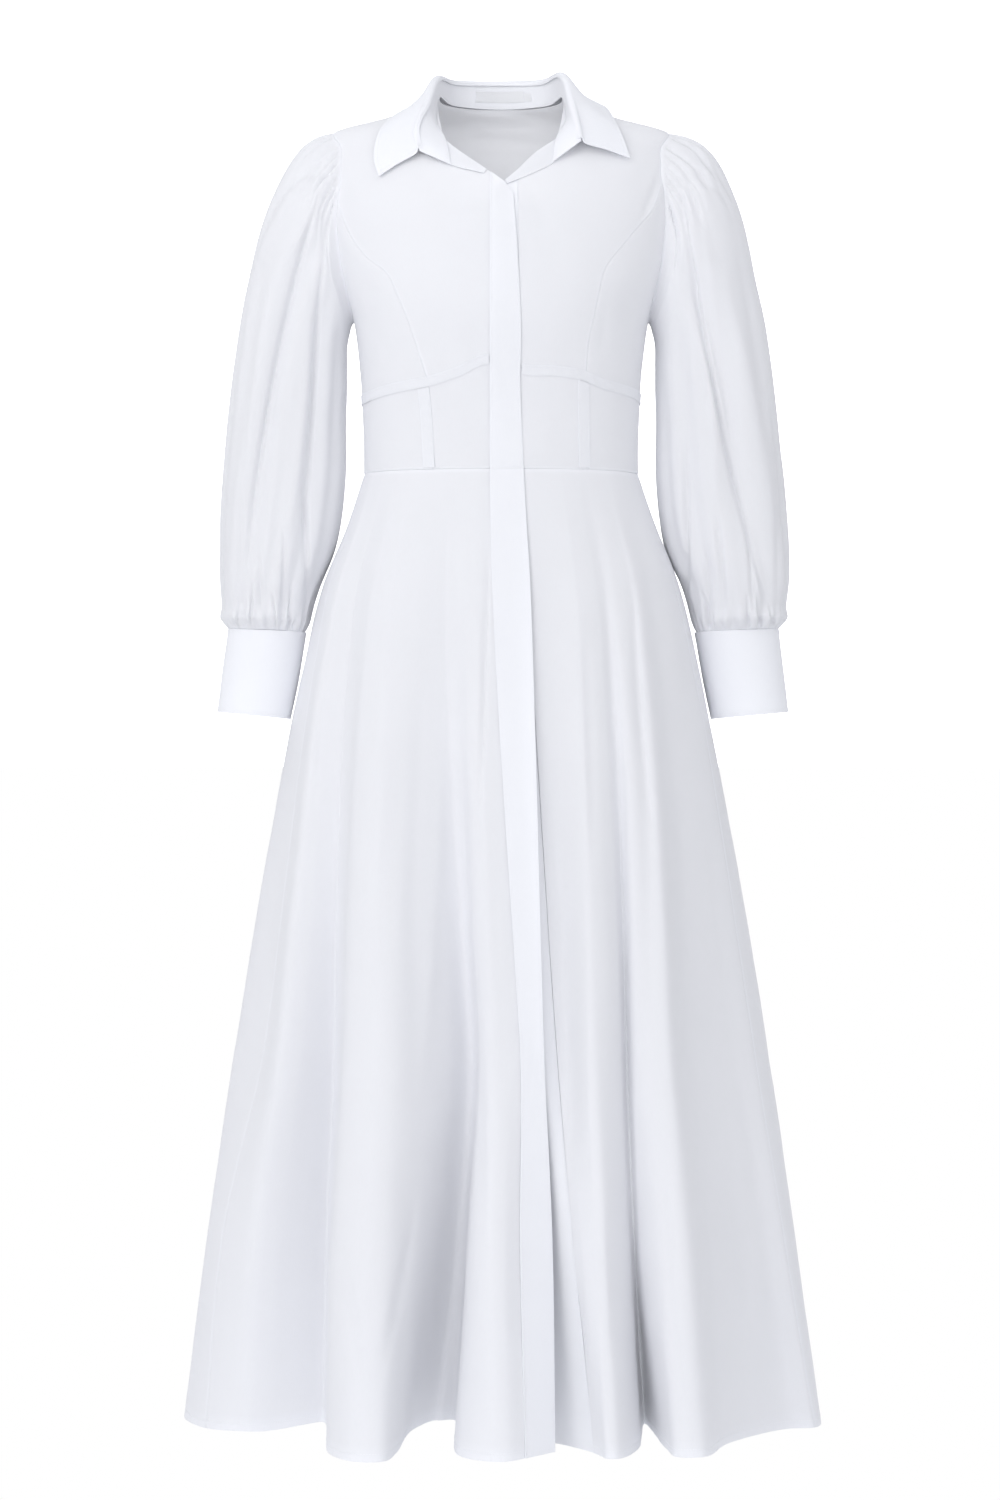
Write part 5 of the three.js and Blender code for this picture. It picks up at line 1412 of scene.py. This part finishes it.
class DRESS_OT_stitches(bpy.types.Operator):
    """Sew the visible rows of stitches"""
    bl_idname = "dress.stitches"
    bl_label = "Stitches"

    def execute(self, context):
        sewing = context.scene.dress_sewing
        hem = [(f"skirt_{part}", "bottom", 7.4) for part in ("front_left", "back", "front_right")]
        make_stitches("hem_stitches", hem, sewing)
        make_stitches("placket_stitches", [
            ("placket_overlap", "start", 1.6), ("placket_overlap", "end", 1.6),
            ("placket_underlap", "end", 1.6),
        ], sewing)
        tapes = [(f"underbust_tape_{part}", edge, 1.3) for part in ("right", "left", "back")
                 for edge in ("top", "bottom")]
        tapes += [(f"bone_channel_{side}", edge, 1.5) for side in SIDES for edge in ("start", "end")]
        tapes += [(f"midriff_{part}", "bottom", 2) for part in
                  ("centre_right", "centre_left", "side_right", "side_left", "back")]
        make_stitches("midriff_stitches", tapes, sewing)
        make_stitches("collar_stitches", [
            ("collar_fall", "bottom", 4), ("collar_fall", "start", 4), ("collar_fall", "end", 4),
            ("collar_stand", "bottom", 2), ("neck_facing_right", "bottom", 1.5),
            ("neck_facing_left", "bottom", 1.5), ("neck_label", "top", 0.8), ("neck_label", "bottom", 0.8),
        ], sewing)
        make_stitches("cuff_stitches", [
            (f"cuff_{side}", edge, 3) for side in SIDES for edge in ("top", "bottom")], sewing)
        return {"FINISHED"}


class DRESS_OT_stage(bpy.types.Operator):
    """Set up the floor, the white room, its lights and camera"""
    bl_idname = "dress.stage"
    bl_label = "Studio"

    def execute(self, context):
        scene, settings = context.scene, context.scene.dress_stage
        world = bpy.data.worlds.new("white_room")
        scene.world = world
        world.use_nodes = True
        tree = world.node_tree
        back = next(n for n in tree.nodes if n.type == "BACKGROUND")
        back.inputs[0].default_value = (0.95, 0.96, 1, 1)
        back.inputs[1].default_value = settings.ambient
        seen = node_at(tree, "ShaderNodeBackground", -200, -200)
        seen.inputs[0].default_value = (1, 1, 1, 1)
        seen.inputs[1].default_value = 1.0
        path = node_at(tree, "ShaderNodeLightPath", -400, 200)
        mix = node_at(tree, "ShaderNodeMixShader", 0, 0)
        out = next(n for n in tree.nodes if n.type == "OUTPUT_WORLD")
        tree.links.new(path.outputs["Is Camera Ray"], mix.inputs[0])
        tree.links.new(back.outputs[0], mix.inputs[1])
        tree.links.new(seen.outputs[0], mix.inputs[2])
        tree.links.new(mix.outputs[0], out.inputs[0])
        for name, place, aim, power, size in (
            ("key", (-1.9, -3.4, 0.2), (0, 0, -0.7), settings.key, 2.4),
            ("fill", (0.3, -4.6, -0.4), (0, 0, -0.7), settings.fill, 1.8),
            ("top", (-0.8, -1.8, 1.3), (0, 0, -0.1), settings.top, 1.0),
            ("rear", (0.2, 3.2, 0.5), (0, 0, -0.2), settings.rear, 2.4),
            ("neck", (0, -0.04, -0.16), (0, 0.07, -0.01), settings.neck, 0.08),
        ):
            data = bpy.data.lights.new(name, "AREA")
            data.energy = power
            data.size = size
            lamp = bpy.data.objects.new(name, data)
            lamp.location = place
            lamp.visible_camera = name != "neck"
            way = Vector(aim) - Vector(place)
            lamp.rotation_euler = way.to_track_quat("-Z", "Y").to_euler()
            scene.collection.objects.link(lamp)
        half, level = settings.floor_width / 2, settings.floor_level
        ground = bpy.data.meshes.new("floor")
        ground.from_pydata(
            [(-half, -half, level), (half, -half, level), (half, half, level), (-half, half, level)],
            [], [(0, 1, 2, 3)])
        ground.materials.append(floor_finish(settings))
        floor = bpy.data.objects.new("floor", ground)
        scene.collection.objects.link(floor)
        camera = bpy.data.cameras.new("camera")
        camera.lens = 108
        camera.sensor_width = 36
        eye = bpy.data.objects.new("camera", camera)
        eye.location = (-0.001, -CAMERA_DISTANCE * MM, -0.642)
        eye.rotation_euler = (math.radians(90), 0, 0)
        scene.collection.objects.link(eye)
        scene.camera = eye
        scene.view_settings.view_transform = "Standard"
        return {"FINISHED"}


class DRESS_PT_panel(bpy.types.Panel):
    """Lists the steps and settings of the dress"""
    bl_idname = "DRESS_PT_panel"
    bl_label = "Shirt dress"
    bl_space_type = "VIEW_3D"
    bl_region_type = "UI"
    bl_category = "Dress"

    def draw(self, context):
        for step in STEPS:
            self.layout.operator(step.bl_idname)
        for name in SETTINGS:
            group = getattr(context.scene, name)
            for key in type(group).__annotations__:
                self.layout.prop(group, key)


SETTINGS = {"dress_cloth": DressCloth, "dress_sewing": DressSewing, "dress_stage": DressStage}
STEPS = (
    DRESS_OT_bodice, DRESS_OT_midriff, DRESS_OT_skirt, DRESS_OT_placket, DRESS_OT_neck,
    DRESS_OT_sleeves, DRESS_OT_stitches, DRESS_OT_stage,
)


def register():
    for kind in (*SETTINGS.values(), *STEPS, DRESS_PT_panel):
        bpy.utils.register_class(kind)
    for name, kind in SETTINGS.items():
        setattr(bpy.types.Scene, name, bpy.props.PointerProperty(type=kind))


def unregister():
    for name in SETTINGS:
        delattr(bpy.types.Scene, name)
    for kind in (DRESS_PT_panel, *reversed(STEPS), *SETTINGS.values()):
        bpy.utils.unregister_class(kind)


def main():
    register()
    make_finishes(bpy.context.scene)
    for step in STEPS:
        group, name = step.bl_idname.split(".")
        getattr(getattr(bpy.ops, group), name)()


if __name__ == "__main__":
    main()
